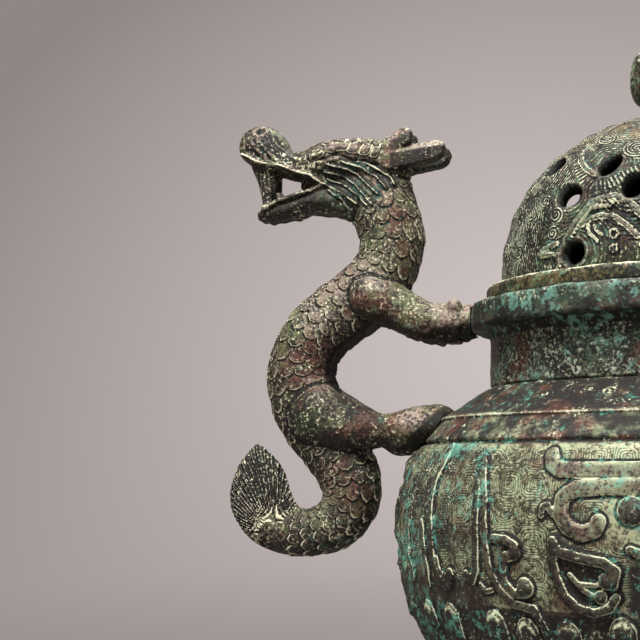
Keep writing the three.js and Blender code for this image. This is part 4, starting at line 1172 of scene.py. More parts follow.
# Clay: a grid of distances to a form that is the same on both sides of the middle plane
class Clay:
    def __init__(self, low, high, step):
        self.step = step
        self.axes = [np.arange(a, b + step, step) for a, b in zip(low, high)]
        self.low = np.array([a[0] for a in self.axes])
        self.grid = np.meshgrid(*self.axes, indexing="ij", sparse=True)
        self.shape = tuple(len(a) for a in self.axes)

    def limb(self, stations, steps=4, far=14.0):  # through x, y, z, half thickness, half depth
        field = np.full(self.shape, far)
        line = threaded(stations, steps)
        line[:, 3:] = np.maximum(line[:, 3:], 0.4)
        for a, b in zip(line[:-1], line[1:]):
            reach = max(a[3], b[3], a[4], b[4]) + 6
            cut = tuple(slice(max(0, int(np.searchsorted(axis, min(p, q) - reach))),
                              int(np.searchsorted(axis, max(p, q) + reach)))
                        for axis, p, q in zip(self.axes, a[:3], b[:3]))
            if any(c.stop <= c.start for c in cut):
                continue
            x, y, z = [g[tuple(c if g.shape[i] > 1 else slice(None) for i, c in enumerate(cut))]
                       for g in self.grid]
            way = b - a
            t = ((x - a[0]) * way[0] + (z - a[2]) * way[2]) / max(way[0] ** 2 + way[2] ** 2, 1e-6)
            t = np.clip(t, 0, 1)
            thick = a[3] + t * way[3]
            squash = thick / (a[4] + t * way[4])
            d = np.sqrt((x - a[0] - t * way[0]) ** 2 + (z - a[2] - t * way[2]) ** 2
                        + (squash * (y - a[1] - t * way[1])) ** 2) - thick
            field[cut] = np.minimum(field[cut], d)
        return field

    def ball(self, centre, radii):
        q = sum(((g - c) / r) ** 2 for g, c, r in zip(self.grid, centre, radii))
        return (np.sqrt(q) - 1) * min(radii)

    def rod(self, start, way, radius, low, high):  # a round bar in the middle plane
        x, y, z = self.grid
        along = (x - start[0]) * way[0] + (z - start[1]) * way[1]
        aside = (x - start[0]) * way[1] - (z - start[1]) * way[0]
        return np.maximum(np.sqrt(aside ** 2 + y ** 2) - radius, np.maximum(low - along, along - high))

    def plate(self, outline, aside, half):  # a flat piece with that outline in the middle plane
        x, y, z = self.grid
        x, z = np.broadcast_arrays(x[:, 0], z[:, 0])
        path = outline + outline[:1]
        far = nearPath(x.ravel(), z.ravel(), path).reshape(x.shape)
        within = np.zeros(x.shape, bool)
        for (ax, az), (bx, bz) in zip(path[:-1], path[1:]):
            if az != bz:
                within ^= ((az > z) != (bz > z)) & (x < (bx - ax) * (z - az) / (bz - az) + ax)
        side = np.where(within, -far, far)[:, None]
        return np.maximum(side, np.abs(y - aside) - half)

    def slab(self, low, high):
        return np.maximum.reduce(np.broadcast_arrays(*[
            np.maximum(a - g, g - b) for g, a, b in zip(self.grid, low, high)]))

    def seat(self):  # positive inside the vessel and the gap around it
        x, y, z = self.grid
        radius = np.interp(z, [p[1] for p in vesselOutline], [p[0] for p in vesselOutline])
        return radius + seatGap - np.sqrt(x * x + y * y)

    def at(self, field, points):  # the field between the grid's points
        q = (np.stack([points[:, 0], np.abs(points[:, 1]), points[:, 2]], 1) - self.low) / self.step
        q = np.clip(q, 0, np.array(self.shape) - 1.001)
        base = q.astype(int)
        return blended(field, base, q - base)

    def skin(self, half):  # points and quads of the surface, both sides
        field = np.concatenate([half[:, :0:-1], half], axis=1)
        low = self.low - (0, (self.shape[1] - 1) * self.step, 0)
        inside = field < 0
        n = [s - 1 for s in field.shape]
        count = sum(inside[i:i + n[0], j:j + n[1], k:k + n[2]].astype(np.int8) for i, j, k in cubeCorners)
        cell = np.argwhere((count > 0) & (count < 8))
        index = np.full(n, -1)
        index[tuple(cell.T)] = np.arange(len(cell))
        value = {c: field[tuple((cell + c).T)] for c in cubeCorners}
        total = np.zeros((len(cell), 3))
        hits = np.zeros(len(cell))
        for a in cubeCorners:
            for axis in range(3):
                if a[axis]:
                    continue
                b = tuple(1 if i == axis else c for i, c in enumerate(a))
                crosses = (value[a] < 0) != (value[b] < 0)
                t = value[a] / np.where(crosses, value[a] - value[b], 1)
                place = np.tile(np.array(a, float), (len(cell), 1))
                place[:, axis] = t
                total += np.where(crosses[:, None], place, 0)
                hits += crosses
        points = low + (cell + total / hits[:, None]) * self.step
        faces = []
        for axis in range(3):
            u, v = (axis + 1) % 3, (axis + 2) % 3
            start = np.take(inside, np.arange(n[axis]), axis)
            end = np.take(inside, np.arange(1, n[axis] + 1), axis)
            edge = np.argwhere(start != end)
            edge = edge[(edge[:, u] > 0) & (edge[:, v] > 0) & (edge[:, u] < n[u]) & (edge[:, v] < n[v])]
            leaves = start[tuple(edge.T)]
            around = []
            for du, dv in ((1, 1), (0, 1), (0, 0), (1, 0)):
                at = edge.copy()
                at[:, u] -= du
                at[:, v] -= dv
                around.append(index[tuple(at.T)])
            quad = np.stack(around, 1)
            faces.append(np.where(leaves[:, None], quad, quad[:, ::-1]))
        return points, [np.vstack(faces)]


# Outside of the vessel, which handles and legs are cut to
seatGap = 0.3
underbelly = oval(bowl["bellyLevel"], bowl["bellyRadius"], bowl["bellyDepth"], -1.5, 0)
vesselOutline = ([(0.0, 39.0)] + [tuple(p) for p in underbelly]
                 + [(94.2, 162.5), (92.6, 164.7), (86.2, 172.1), (85.6, 173.5), (68.4, 184.1), (68.4, 205.0),
                    (75.4, 205.1), (75.4, 214.7), (75.3, 214.9), (0.0, 215.0), (0.0, 400.0)])

# Dragon handle. Places are outwards from the belly's widest ring and up from the neck's foot.
dragon = {
    "origin": (bowl["bellyRadius"], bowl["shoulder"][-1][1]),
    "room": ((70.8, 0.0, 114.0), (174.0, 24.0, 297.0)),
    "step": 0.6,
    "spine": [(8.2, 76, 13, 11.5), (4, 63.4, 12.6, 12), (3.4, 56, 12.6, 12), (7, 45.5, 13, 12),
              (17.3, 35, 13.7, 12), (28.7, 27, 13.7, 12.3), (36.2, 18.5, 13.6, 12.6), (39.7, 8, 14, 12.8),
              (37.8, -3, 14.3, 12.8), (34.1, -11, 14, 12.6), (28.4, -19, 13.2, 12), (22.8, -28, 12.3, 11.4),
              (20, -36.5, 11.6, 10.8), (21.4, -44.5, 10.6, 10), (27, -50.8, 10, 9.4), (36, -54, 9.1, 8.4),
              (45, -53.4, 9.6, 7.2), (52.4, -48.8, 11.5, 6.4), (56.6, -42, 12.7, 6), (57.2, -34, 10.5, 5),
              (57.8, -27, 5.8, 3.6), (58.4, -21.2, 1.4, 1.4)],
    "skull": [(3, 87, 7, 8), (11, 90.6, 9, 11.2), (20, 91, 9.4, 12.2), (29, 91, 9.2, 11.6),
              (36, 90.4, 6.8, 10), (42, 90.7, 5.8, 9.2), (48, 92.6, 5.8, 8.8), (54, 97.6, 8.6, 9),
              (58, 99.8, 8.2, 8.4), (61.4, 98, 4.6, 5.6)],
    "jaw": [(18, 77, 9.6, 11), (29, 75.8, 5.6, 10.4), (36, 74.8, 3.7, 9.4), (43, 73.1, 4, 8.4),
            (50, 71.6, 3.4, 7.4), (55.7, 71.2, 2.7, 5.6)],
    "horn": [(7, 94.8), (-7.6, 96.2), (-15.8, 96.9), (-18.6, 95), (-18.9, 93), (-18, 90), (-15.6, 88.5),
             (-2.1, 86.1), (7, 85.6)],
    "ear": [(10, 95.4), (0.4, 101.6), (-3.2, 103.2), (-5.8, 101), (-5.6, 96.2), (-1, 94.2), (6, 91)],
    "fang": [(54.8, 91, 5.0, 3.2), (53.6, 85, 3.8, 2.9), (53.1, 80, 3.1, 2.5), (53, 74, 2.2, 2)],
    "thigh": [(31, -9, 11.4, 8), (21, -13, 9.6, 7.4), (12.6, -14.6, 7.2, 6.2), (4, -14.2, 5.6, 5.2)],
    "shoulder": [(10, 36, 8.6, 7), (0, 31.6, 8.2, 6.4), (-9.6, 26.7, 7.5, 6)],
    "aside": {"horn": 6.4, "ear": 5.4, "fang": 4.2, "thigh": 8.6, "shoulder": 8.4},
    "scalesRound": 12,
    "scaleLength": (6.0, 4.8),
    "lip": [(62.6, 95), (56.5, 92), (50.1, 90.6), (43.8, 88.4), (38.8, 86.3), (33.8, 84.6), (28.8, 80.8)],
    "jawLip": [(54.4, 73.2), (48.5, 75.5), (42.8, 77), (36.6, 78.4), (32.8, 79.4), (29, 81)],
    "eye": [(31.1, 92.9, 3.3, 1.9, -0.3), (25.2, 95, 3.0, 2, 0.15)],
    "brow": [(20.4, 95.2, 2.2, 2.0, 0.1), (15.8, 94.2, 2.1, 2.3, 0.2), (11.5, 93.4, 1.9, 2.3, 0.1),
             (7.9, 92.4, 1.4, 2.2, 0), (22.4, 98.5, 2.6, 1.4, 0.1), (17, 98.1, 2.3, 1.5, 0),
             (12, 97, 2.1, 1.6, -0.1), (27.4, 97.6, 2, 1.2, 0.3)],
    "mane": [[(28.5, 86.1), (21.1, 84.1), (15, 78.9), (9, 71.4)], [(28.5, 80.9), (22.4, 77.5), (15.1, 72.3)],
             [(26.1, 88.1), (18.7, 86.2), (12.6, 81.4), (6.6, 75.3)],
             [(21.1, 88.9), (13.8, 86.6), (7.7, 83), (3.6, 78)],
             [(27.9, 83.3), (18.7, 79.1), (10.8, 71.2)], [(14.6, 88.6), (8, 86.6), (2.6, 82.6), (0.6, 79.4)],
             [(27, 78.4), (21.8, 74.6), (17.6, 70.2)]],
    "nostril": (55.6, 104.4),
    "finStart": (45, -53.4),
    "finRoot": (49.6, -57.0),
    "finRib": 4.2,
    "snoutGrooves": [[(60.3, 100), (58.3, 96.2), (53.2, 91.8), (47.4, 89.6)],
                     [(57.9, 101.3), (55.3, 96.7), (50.8, 92.6), (45.1, 89.8)],
                     [(54.8, 100.8), (52.2, 97.6), (47.8, 93.6), (42.7, 90.2)],
                     [(51.9, 102.2), (49.4, 98.6), (44.9, 94), (39.8, 90.6)],
                     [(49.8, 102), (47.3, 98.8), (42.8, 95.2), (38.6, 92.8)],
                     [(61, 97.8), (57, 94), (51.6, 91.4)], [(56.4, 99.2), (53.6, 95), (49, 91.6)],
                     [(53.4, 101.4), (50.8, 98), (46.2, 93.4), (41.2, 90.2)]],
    "fluted": (48.4, 57, 75, 89.5),  # the fangs' flutes: from, to, foot and top
    "throat": (81, 9, 58),  # level of the jaw, how far out, and foot
    "ragged": (10, 34),  # levels of the rough casting under the forepaw
    "chin": (8, 60, 76),  # how far out, foot and top
    "handGap": (-16, 40),  # levels of the gap that a hand takes
    "hornFoot": (2, 85),
    "cheek": [(37, 88.4), (28.5, 88.6), (22, 89.4), (16, 87.6), (9.5, 86.4)],
    "browGroove": [(34.8, 90.6), (28.4, 90.8), (22.2, 92), (17, 89.6), (12.6, 88.3), (7.4, 87.6)],
    # from here to the passages, places are in the vessel's own frame
    "wrist": (87.4, 6.4, 209.9, 6.6, 5.6),
    "ankle": (98.4, 6.4, 170.2, 6, 5.4),
    "forepaw": [(91.4, 0, 209.9, 5.4, 9), (84.2, 0, 209.6, 7.4, 12.4), (75.4, 0, 210.6, 6.3, 11.9)],
    "hindpaw": [(103.4, 0, 170.2, 5.5, 8.8), (97.1, 0, 170.5, 7.8, 12.2), (89.4, 0, 171.2, 7.8, 11.7)],
    "heel": ((103.0, 5.0, 163.8), (6.0, 6.0, 4.4)),
    "boss": [(81.1, 9.8, 215.0, 2.9), (95.2, 8.6, 174.8, 2.5)],
    "tongueSlot": ((60, -1, 207.1), (87.7, 6.8, 212.7)),
    "passages": [((82.6, 0), (0, 1), 2.3, 180, 240), ((82.6, 0), (0, 1), 3.6, 216.1, 240),
                 ((82.6, 0), (0, 1), 3.6, 180, 203.7), ((89.4, 168.4), (0.7565, 0.6543), 2.3, -10, 20),
                 ((89.4, 168.4), (0.7565, 0.6543), 3.6, 7.6, 30)],  # rivets: foot, way, radius, ends
    "flatInside": 11.2,
    "rust": [(8, 31, 7, 1), (30, 14, 9, 1), (33, 4, 6, 0.8), (0, 64, 6, 0.9), (6, -12, 9, 1),
             (24, -34, 8, 1), (0, 90, 6, 0.8), (14, 91, 4, 0.6), (-8, 20, 6, 0.8), (-14, 90, 6, 0.6)],
    "lichen": [(45, 24, 7, 1), (33, -12, 6, 0.8), (-5, 36, 6, 0.9), (22, 77, 6, 0.7), (9, 59, 6, 1),
               (33, -47, 6, 1), (47, 101, 5, 0.8), (56, -30, 9, 0.8)],
    # places of rubbed wear and painted highlights: out, up, radius, amount
    "highlightAndWear": [(24, 40, 7, 1), (31, 30, 8, 1), (12, 47, 6, 1), (8, 41, 5, 1), (-6, -10, 6, 1.1),
              (57, 99, 6, 0.7), (26, 95, 5, 0.8), (28, 1, 5, 0.8), (-20, 29, 8, 0.8), (-22.3, 31, 3, 1.6),
              (-10, 95, 6, 0.9), (1, 99, 4, 0.8)],
}


def onHandle(stations, aside=0.0):
    x, z = dragon["origin"]
    return [(x + out, aside, z + up, thick, deep) for out, up, thick, deep in stations]


def scaleHeights(q, c):  # overlapping rows of round-ended scales, q along the body, c round it
    row = np.floor(q) - 1
    found = np.zeros(q.shape, bool)
    height = np.zeros(q.shape)
    seam = np.zeros(q.shape)
    past = np.full(q.shape, 9.0)
    leftHere = np.full(q.shape, 9.0)
    for _ in range(4):
        across = (c + 0.5 * (row % 2)) % 1 - 0.5
        cusp = 0.05 * np.abs(np.cos(3 * np.pi * across))
        end = row + 0.5 + cusp + 0.62 * bulge(2 * across)
        left = end - q
        here = ~found & (left >= 0)
        past = np.where(~found & (left < 0), np.minimum(past, -left), past)
        height = np.where(here, 1 - left / 1.4, height)
        leftHere = np.where(here, left, leftHere)
        seam = np.where(here, ridge(left, 0.2), seam)
        found |= here
        row = row + 1
    return height, seam, np.where(leftHere < past, leftHere, -past)


def dragonHead(clay):
    x0, z0 = dragon["origin"]
    aside = dragon["aside"]
    x, y, z = clay.grid
    head = fused(clay.limb(onHandle(dragon["skull"])), clay.limb(onHandle(dragon["jaw"])), 3.0)
    head = fused(head, clay.limb(onHandle(dragon["fang"], aside["fang"])), 1.6)
    horn = clay.plate([(x0 + a, z0 + b) for a, b in dragon["horn"]], aside["horn"], 3.2)
    hornTop = 0.84 * (z - z0 - 92.4 - 0.1 * (x0 - x)) + 0.54 * (y - aside["horn"]) - 1.5
    head = fused(head, np.maximum(horn, hornTop), 1.0)
    ear = clay.plate([(x0 + a, z0 + b) for a, b in dragon["ear"]], aside["ear"], 3.0)
    earFace = 0.5 * (z - z0 - 99.4) + 0.86 * (y - aside["ear"]) + 0.2 * (x - x0) - 1.5
    head = fused(head, np.maximum(ear, earFace), 0.9)
    head = fused(head, clay.ball((x0 + 47.4, 7.4, z0 + 77.6), (1.6, 1.6, 1.6)), 0.8)  # a tooth of the jaw
    lip = clay.limb([(x0 + a, 9.2 - 0.05 * abs(a - 40), z0 + b, 1.0, 2.2) for a, b in dragon["lip"]])
    jawLip = clay.limb([(x0 + a, 8.0 - 0.08 * abs(a - 36), z0 + b + 0.1, 0.9, 1.8)
                        for a, b in dragon["jawLip"]])
    head = fused(fused(head, lip, 1.0), jawLip, 1.0)
    return fused(head, clay.ball((x0 + 30.9, 0, z0 + 82.2), (9.4, 7.8, 4.6)), 1.5)  # the mouth's corner


def dragonLegs(clay):
    aside = dragon["aside"]
    foreleg = clay.limb(onHandle(dragon["shoulder"], aside["shoulder"]) + [dragon["wrist"]])
    hindleg = clay.limb(onHandle(dragon["thigh"], aside["thigh"]) + [dragon["ankle"]])
    forepaw = clay.limb(dragon["forepaw"])
    hindpaw = fused(clay.limb(dragon["hindpaw"]), clay.ball(*dragon["heel"]), 4)
    legs = np.minimum(fused(foreleg, forepaw, 4), fused(hindleg, hindpaw, 4))
    for x, y, z, radius in dragon["boss"]:
        legs = fused(legs, clay.ball((x, y, z), (radius, radius, radius * 1.2)), 0.8)
    return legs


def insideFace(clay):  # the flat face that the body turns to the hand's gap
    line = threaded(onHandle(dragon["spine"]), 10)
    x, z = clay.grid[0], clay.grid[2]
    flat = np.full((clay.shape[0], 1, clay.shape[2]), -14.0)
    nearest = np.full(flat.shape, 1e9)
    gap = slice(25, 105)
    way = np.gradient(line[:, [0, 2]], axis=0)
    for (px, pz), (wx, wz), size in zip(line[gap][:, [0, 2]], way[gap], line[gap][:, 3]):
        dx, dz = x - px, z - pz
        far = dx * dx + dz * dz
        length = math.hypot(wx, wz)
        inward = (dx * wz - dz * wx) / length - size * dragon["flatInside"] / 13.3
        flat = np.where(far < nearest, inward, flat)
        nearest = np.minimum(nearest, far)
    return flat


def bodyPlace(points):  # places along, across and round the body, and where the tail's fin starts
    line = threaded(onHandle(dragon["spine"]), 10)
    middle = line[:, [0, 2]]
    reach = np.concatenate([[0], np.cumsum(np.hypot(*np.diff(middle, axis=0).T))])
    nearest = np.empty(len(points), int)
    for part in np.array_split(np.arange(len(points)), 30):
        d = np.hypot(points[part, 0, None] - line[:, 0], points[part, 2, None] - line[:, 2]) / line[:, 3]
        nearest[part] = d.argmin(axis=1)
    way = np.gradient(middle, axis=0)
    way = (way / np.linalg.norm(way, axis=1, keepdims=True))[nearest]
    gap = points[:, [0, 2]] - middle[nearest]
    along = reach[nearest] + (gap * way).sum(axis=1)
    across = (gap[:, 0] * -way[:, 1] + gap[:, 1] * way[:, 0]) / line[nearest, 3]
    turn = np.arctan2(points[:, 1] / line[nearest, 4], across) / (2 * np.pi)
    toFin = middle - dragon["origin"] - dragon["finStart"]
    return along, across, turn, reach[np.argmin(np.hypot(*toFin.T))]


class Dragon:  # the handle's surface, how near it is to body, head and legs, and what is carved on it
    def __init__(self):
        clay = Clay(*dragon["room"], dragon["step"])
        body = np.maximum(clay.limb(onHandle(dragon["spine"])), insideFace(clay))
        head, legs, seat = dragonHead(clay), dragonLegs(clay), clay.seat()
        field = fused(fused(body, head, 4.0), legs, 3.0)
        # seats on the vessel and passages of the rivets
        cuts = [seat, -clay.slab(*dragon["tongueSlot"])]
        cuts += [-clay.rod(*passage) for passage in dragon["passages"]]
        for cut in cuts:
            field = np.maximum(field, cut)
        points, self.faces = clay.skin(field)
        points = relaxed(points, self.faces, 2, 0.4)
        self.points = points
        self.normal = normalsOf(relaxed(points, self.faces, 4), self.faces)
        x0, z0 = dragon["origin"]
        self.out, self.up, self.y = points[:, 0] - x0, points[:, 2] - z0, points[:, 1]
        near = [clay.at(form, points) for form in (body, head, legs, seat)]
        self.nearBody, self.nearHead, self.nearLegs, self.nearSeat = near
        self.flank = ease((np.abs(self.normal[:, 1]) - 0.25) / 0.3)
        self.wavy = self.out + 0.5 * grain(points, 3.2, 51), self.up + 0.5 * grain(points, 3.2, 52)
        self.shadeAndSoot, self.cream, self.plates = np.zeros((3, len(points)))

    def darken(self, amount):
        self.shadeAndSoot = np.maximum(self.shadeAndSoot, amount)

    def whiten(self, amount):
        self.cream = np.maximum(self.cream, amount)

    def layScales(self):
        along, across, turn, finStart = bodyPlace(self.points)
        long, short = dragon["scaleLength"]
        rate = np.interp(along, [0, finStart], [1 / long, 1 / short])
        rowAt = along * (1 / long + rate) / 2
        scaled, seam, rim = scaleHeights(rowAt, turn * dragon["scalesRound"])
        clear = ease((np.minimum(self.nearHead, self.nearLegs) - self.nearBody) / 1.6)
        self.onBody = clear * ease((finStart + 2 - along) / 5)
        self.fin = ease((along - finStart) / 4)
        self.height = self.onBody * (0.9 * (scaled - 0.5) - 0.2 * seam)
        self.rim = np.where(self.onBody > 0.5, rim / rate, noRim)
        self.inside = ease((np.clip(-across, 0, 1) - 0.74) / 0.06) * self.onBody
        low, high = dragon["handGap"]
        self.inside *= (self.up > low) * (self.up < high)

    def grooveJoints(self):  # where the limbs and head meet the body
        for other in (self.nearLegs, self.nearHead):
            apart = other - self.nearBody - 0.4
            joint = np.exp(-(apart / 0.5) ** 2) * ease((4 - np.abs(other)) / 2)
            self.height -= 0.6 * joint
            self.rim = np.where(joint > 0.02, -0.1 - np.abs(apart), self.rim)

    def combMane(self):  # strands combed back from the mouth's corner, with painted shade between them
        near = np.minimum.reduce([nearPath(*self.wavy, path) for path in dragon["mane"]])
        maned = self.flank * ease((2.4 - near) / 1.2)
        strand = self.flank * ridge(near, 0.9)
        self.height += 0.8 * strand - 0.5 * maned
        self.rim = np.where((maned > 0.1) & (self.flank > 0.5), 0.15 - near, self.rim)
        self.darken(0.8 * maned * ease((near - 0.4) / 0.4))

    def raisePlates(self):  # eyes and brows
        for cx, cz, rx, rz, lean in dragon["eye"] + dragon["brow"]:
            a, b = leaned(self.out - cx, self.up - cz, lean)
            d = (np.abs((a + 0.3 * b) / rx) ** 5 + np.abs(b / rz) ** 5) ** 0.2
            self.height += self.flank * (0.55 * ease((1.05 - d) / 0.2) - 0.4 * ridge(d - 1.2, 0.2))
            edged = np.maximum(self.rim, (1.05 - d) * min(rx, rz) * 1.7)
            self.rim = np.where((self.flank > 0.4) & (d < 1.5), edged, self.rim)
            shadow = np.maximum(0.5 * ridge(d - 1.3, 0.25), 0.7 * (d < 1) * (b < -0.6))
            self.shadeAndSoot = np.maximum(self.shadeAndSoot * (d > 1), self.flank * shadow)
            self.plates = np.maximum(self.plates, self.flank * ease((1 - d) / 0.2))

    def carveSnout(self):  # nostril ring with painted shade in the nostril, and the wrinkles behind it
        nx, nz = dragon["nostril"]
        d = np.hypot((self.out - nx) / 1.25, self.up - nz)
        nose = ease((np.abs(self.y) - 2) / 2) * (self.out > 40)
        self.height += nose * (0.4 * ridge(d - 2.2, 0.8) - 1.2 * ease((1.7 - d) / 1.0))
        self.darken(0.85 * nose * ease((1.9 - d) / 0.8))
        for path in dragon["snoutGrooves"]:
            d, share = pathPlace(*self.wavy, path)
            cut = self.flank * ridge(d, 0.9) * np.sin(np.pi * np.clip(share, 0.04, 0.96)) ** 0.5
            self.height -= 0.55 * cut
            self.rim = np.where(self.flank > 0.3, np.maximum(self.rim, -0.5 - 0.7 * d), self.rim)
            self.whiten(0.35 * self.flank * ridge(d - 1.0, 0.5))

    def carveMouth(self):
        out, up = self.out, self.up
        # cream line along the lips, painted shadow below it, and a pale strip on the cheek
        side = ease((np.abs(self.y) - 3.5) / 1.5) * (self.nearHead < self.nearBody + 0.5)
        for lips, amount in ((dragon["lip"], 0.85), (dragon["jawLip"], 0.7)):
            d = nearPath(*self.wavy, lips)
            self.whiten(amount * side * ridge(d, 1.0))
            path = sorted(lips)
            over = np.interp(out, [q[0] for q in path], [q[1] for q in path])
            below = ease((over - 0.9 - up) / 0.8) * ease((up - over + 9) / 3)
            below = below * (out > path[0][0]) * (out < path[-1][0] + 4)
            self.darken(0.75 * side * below * (1 - ridge(d, 1.0)))
        self.whiten(0.45 * side * ridge(nearPath(*self.wavy, dragon["cheek"]), 1.6))
        # painted shade under the jaw
        level, past, foot = dragon["throat"]
        throat = ease((level - up - 0.35 * (30 - out)) / 3) * ease((out - past) / 5) * ease((up - foot) / 4)
        throat = throat * (self.nearHead < self.nearBody + 1)
        self.darken(0.7 * throat * (self.cream < 0.2))
        # flutes of the fangs
        fluteWide = 1.7
        flute = wave((out - 0.05 * up) / fluteWide) * fluteWide / 2
        start, end, foot, top = dragon["fluted"]
        fang = side * (out > start) * (out < end) * ease(up - foot) * ease(top - up)
        self.height -= 0.35 * fang * ridge(flute, 0.6)
        self.rim = np.where(fang > 0.5, -0.5 - flute, self.rim)
        self.shadeAndSoot = np.where(fang > 0.5, np.minimum(self.shadeAndSoot, 0.25), self.shadeAndSoot)
        # groove under the brow, with painted shade in it
        cut = self.flank * ridge(nearPath(out, up, dragon["browGroove"]), 1.3)
        self.height -= 1.1 * cut
        self.darken(cut)

    def ribFin(self):  # ribs that fan out over the tail's fin
        x, z = self.out - dragon["finRoot"][0], self.up - dragon["finRoot"][1]
        fromRoot = np.hypot(x, z)
        rib = wave(np.degrees(np.arctan2(z, x)) / dragon["finRib"] + 0.05 * fromRoot)
        self.height -= self.fin * 0.8 * ease((0.5 - rib) / 0.5) * (0.35 + 0.65 * self.flank)
        fromRib = 0.5 * (1 - rib) * fromRoot * math.radians(dragon["finRib"])
        self.rim = np.where((self.fin > 0.5) & (fromRoot > 7), 0.06 - fromRib, self.rim)

    def cast(self):  # rough under forepaw and chin, small dents all over, and all of it moved out
        points, up, down = self.points, self.up, -self.normal[:, 2]
        low, high = dragon["ragged"]
        ragged = ease((self.nearBody - 3) / 4) * ease((down - 0.2) / 0.4) * (up > low) * (up < high)
        past, low, high = dragon["chin"]
        chin = ease((down - 0.1) / 0.4) * (up > low) * (up < high) * (self.out > past)
        self.height += (ragged + 0.7 * chin) * grain(points, 2.6, 21)
        self.height += 0.2 * grain(points, 7, 22) + 0.14 * grain(points, 2.2, 23)
        self.height *= ease(-self.nearSeat / 1.2 + 0.1)
        self.points = pushed(points, self.faces, self.height)

    def marks(self):  # where the handle is weathered, and where shade and highlights are painted on it
        points, out, up, rise = self.points, self.out, self.up, self.normal[:, 2]
        plain = 1 - self.inside
        marks = weathered(points, self.faces, 8, 0.4)
        marks["hollow"] = 0.35 * marks["hollow"] * (1 - self.shadeAndSoot) * plain
        marks["crustAndHighlight"] = self.cream * plain
        marks["rim"] = np.where(self.inside > 0.3, noRim, np.clip(self.rim, noRim, -noRim))
        hornOut, hornUp = dragon["hornFoot"]
        horned = (out < hornOut) * ease((up - hornUp) / 2)
        # painted shade on the horn's steep sides
        self.darken(0.84 * horned * ease((0.55 - rise) / 0.3))
        # painted shade on faces that turn down, low on the legs and body, under the hind paw and on the flat
        # inside face
        beneath = 0.85 * ease((-rise - 0.05) / 0.6)
        onLegs = ease((self.nearBody - self.nearLegs) / 1.5)
        thigh = onLegs * ease((8 - up) / 6) * (out > 4)
        thigh *= np.clip(0.55 + 0.5 * grain(points, 5, 82) + 0.3 * grain(points, 1.8, 83), 0, 0.85)
        paw = 0.94 * onLegs * ease((-21.4 - up - 0.955 * out) / 2) * (out < 6) * (up < 0)
        lower = 0.6 * self.onBody * ease((-18 - up) / 8) * ease(0.5 + grain(points, 6, 81))
        shade = np.maximum.reduce([self.shadeAndSoot * 0.9, self.inside, beneath, thigh, lower, paw])
        marks["shadeAndSoot"] = np.clip(shade * (0.93 + 0.16 * grain(points, 3, 84)), 0, 1)
        marks["speckle"] = 0.5 * marks["shadeAndSoot"] * ease(0.4 + grain(points, 4, 85)) * plain
        for zone in ("rust", "lichen", "highlightAndWear"):
            marks[zone] = blobs(out, up, dragon[zone]) * plain
        # painted highlight on the horn's upward face and on the eye and brow plates
        hornTop = 1.2 * horned * ease((rise - 0.5) / 0.3)
        marks["highlightAndWear"] = np.maximum.reduce([marks["highlightAndWear"], 0.2 * self.plates, hornTop])
        return marks


def makeDragons():
    skin = Dragon()
    for carve in (skin.layScales, skin.grooveJoints, skin.combMane, skin.raisePlates, skin.carveSnout,
                  skin.carveMouth, skin.ribFin, skin.cast):
        carve()
    marks = skin.marks()
    uv = sideMap(skin.points, skin.faces, skin.normal)
    finish = bronze("dragon brown bronze", dragonLook)
    for hand, sign in (("right", 1), ("left", -1)):
        placed = skin.points * (sign, sign, 1)
        addPiece("dragon_" + hand, "dragon_handle_" + hand, placed, skin.faces, marks, finish, "vessel",
                 uv)


def sideMap(points, faces, normal):  # four flat islands: each side's outward and inward faces
    f = faces[0]
    low, high = points.min(axis=0), points.max(axis=0)
    size = high[2] - low[2]
    wide = (high[0] - low[0]) / size
    corner = points[f]
    right = (corner[:, :, 1].mean(axis=1) >= 0)
    outward = (normal[f][:, :, 1].mean(axis=1) * np.where(right, 1, -1)) >= -0.15
    island = np.where(right, 0, 1) + np.where(outward, 0, 2)
    u = (corner[:, :, 0] - low[0]) / size + island[:, None] * (wide + 0.02)
    v = (corner[:, :, 2] - low[2]) / size
    full = 4 * (wide + 0.02)
    return np.stack([u / full, v / full], -1).reshape(-1, 2) + 0.004


dragonLook = {
    "dark": colour(27, 23, 18),
    "brown": colour(124, 109, 85),
    "pale": colour(230, 224, 192),
    "redShare": 0.75,
    "greenShare": 0.5,
    "tealShare": 0.2,
    "ochreShare": 0.4,
    "wornAndLitShare": 0.5,
    "rimStep": 1.5,
    "rimPale": 1.45,
    "paleShare": 0.93,
    "pits": 1.1,
    "grains": 0.6,
    "bump": 1.5,
}
makeDragons()


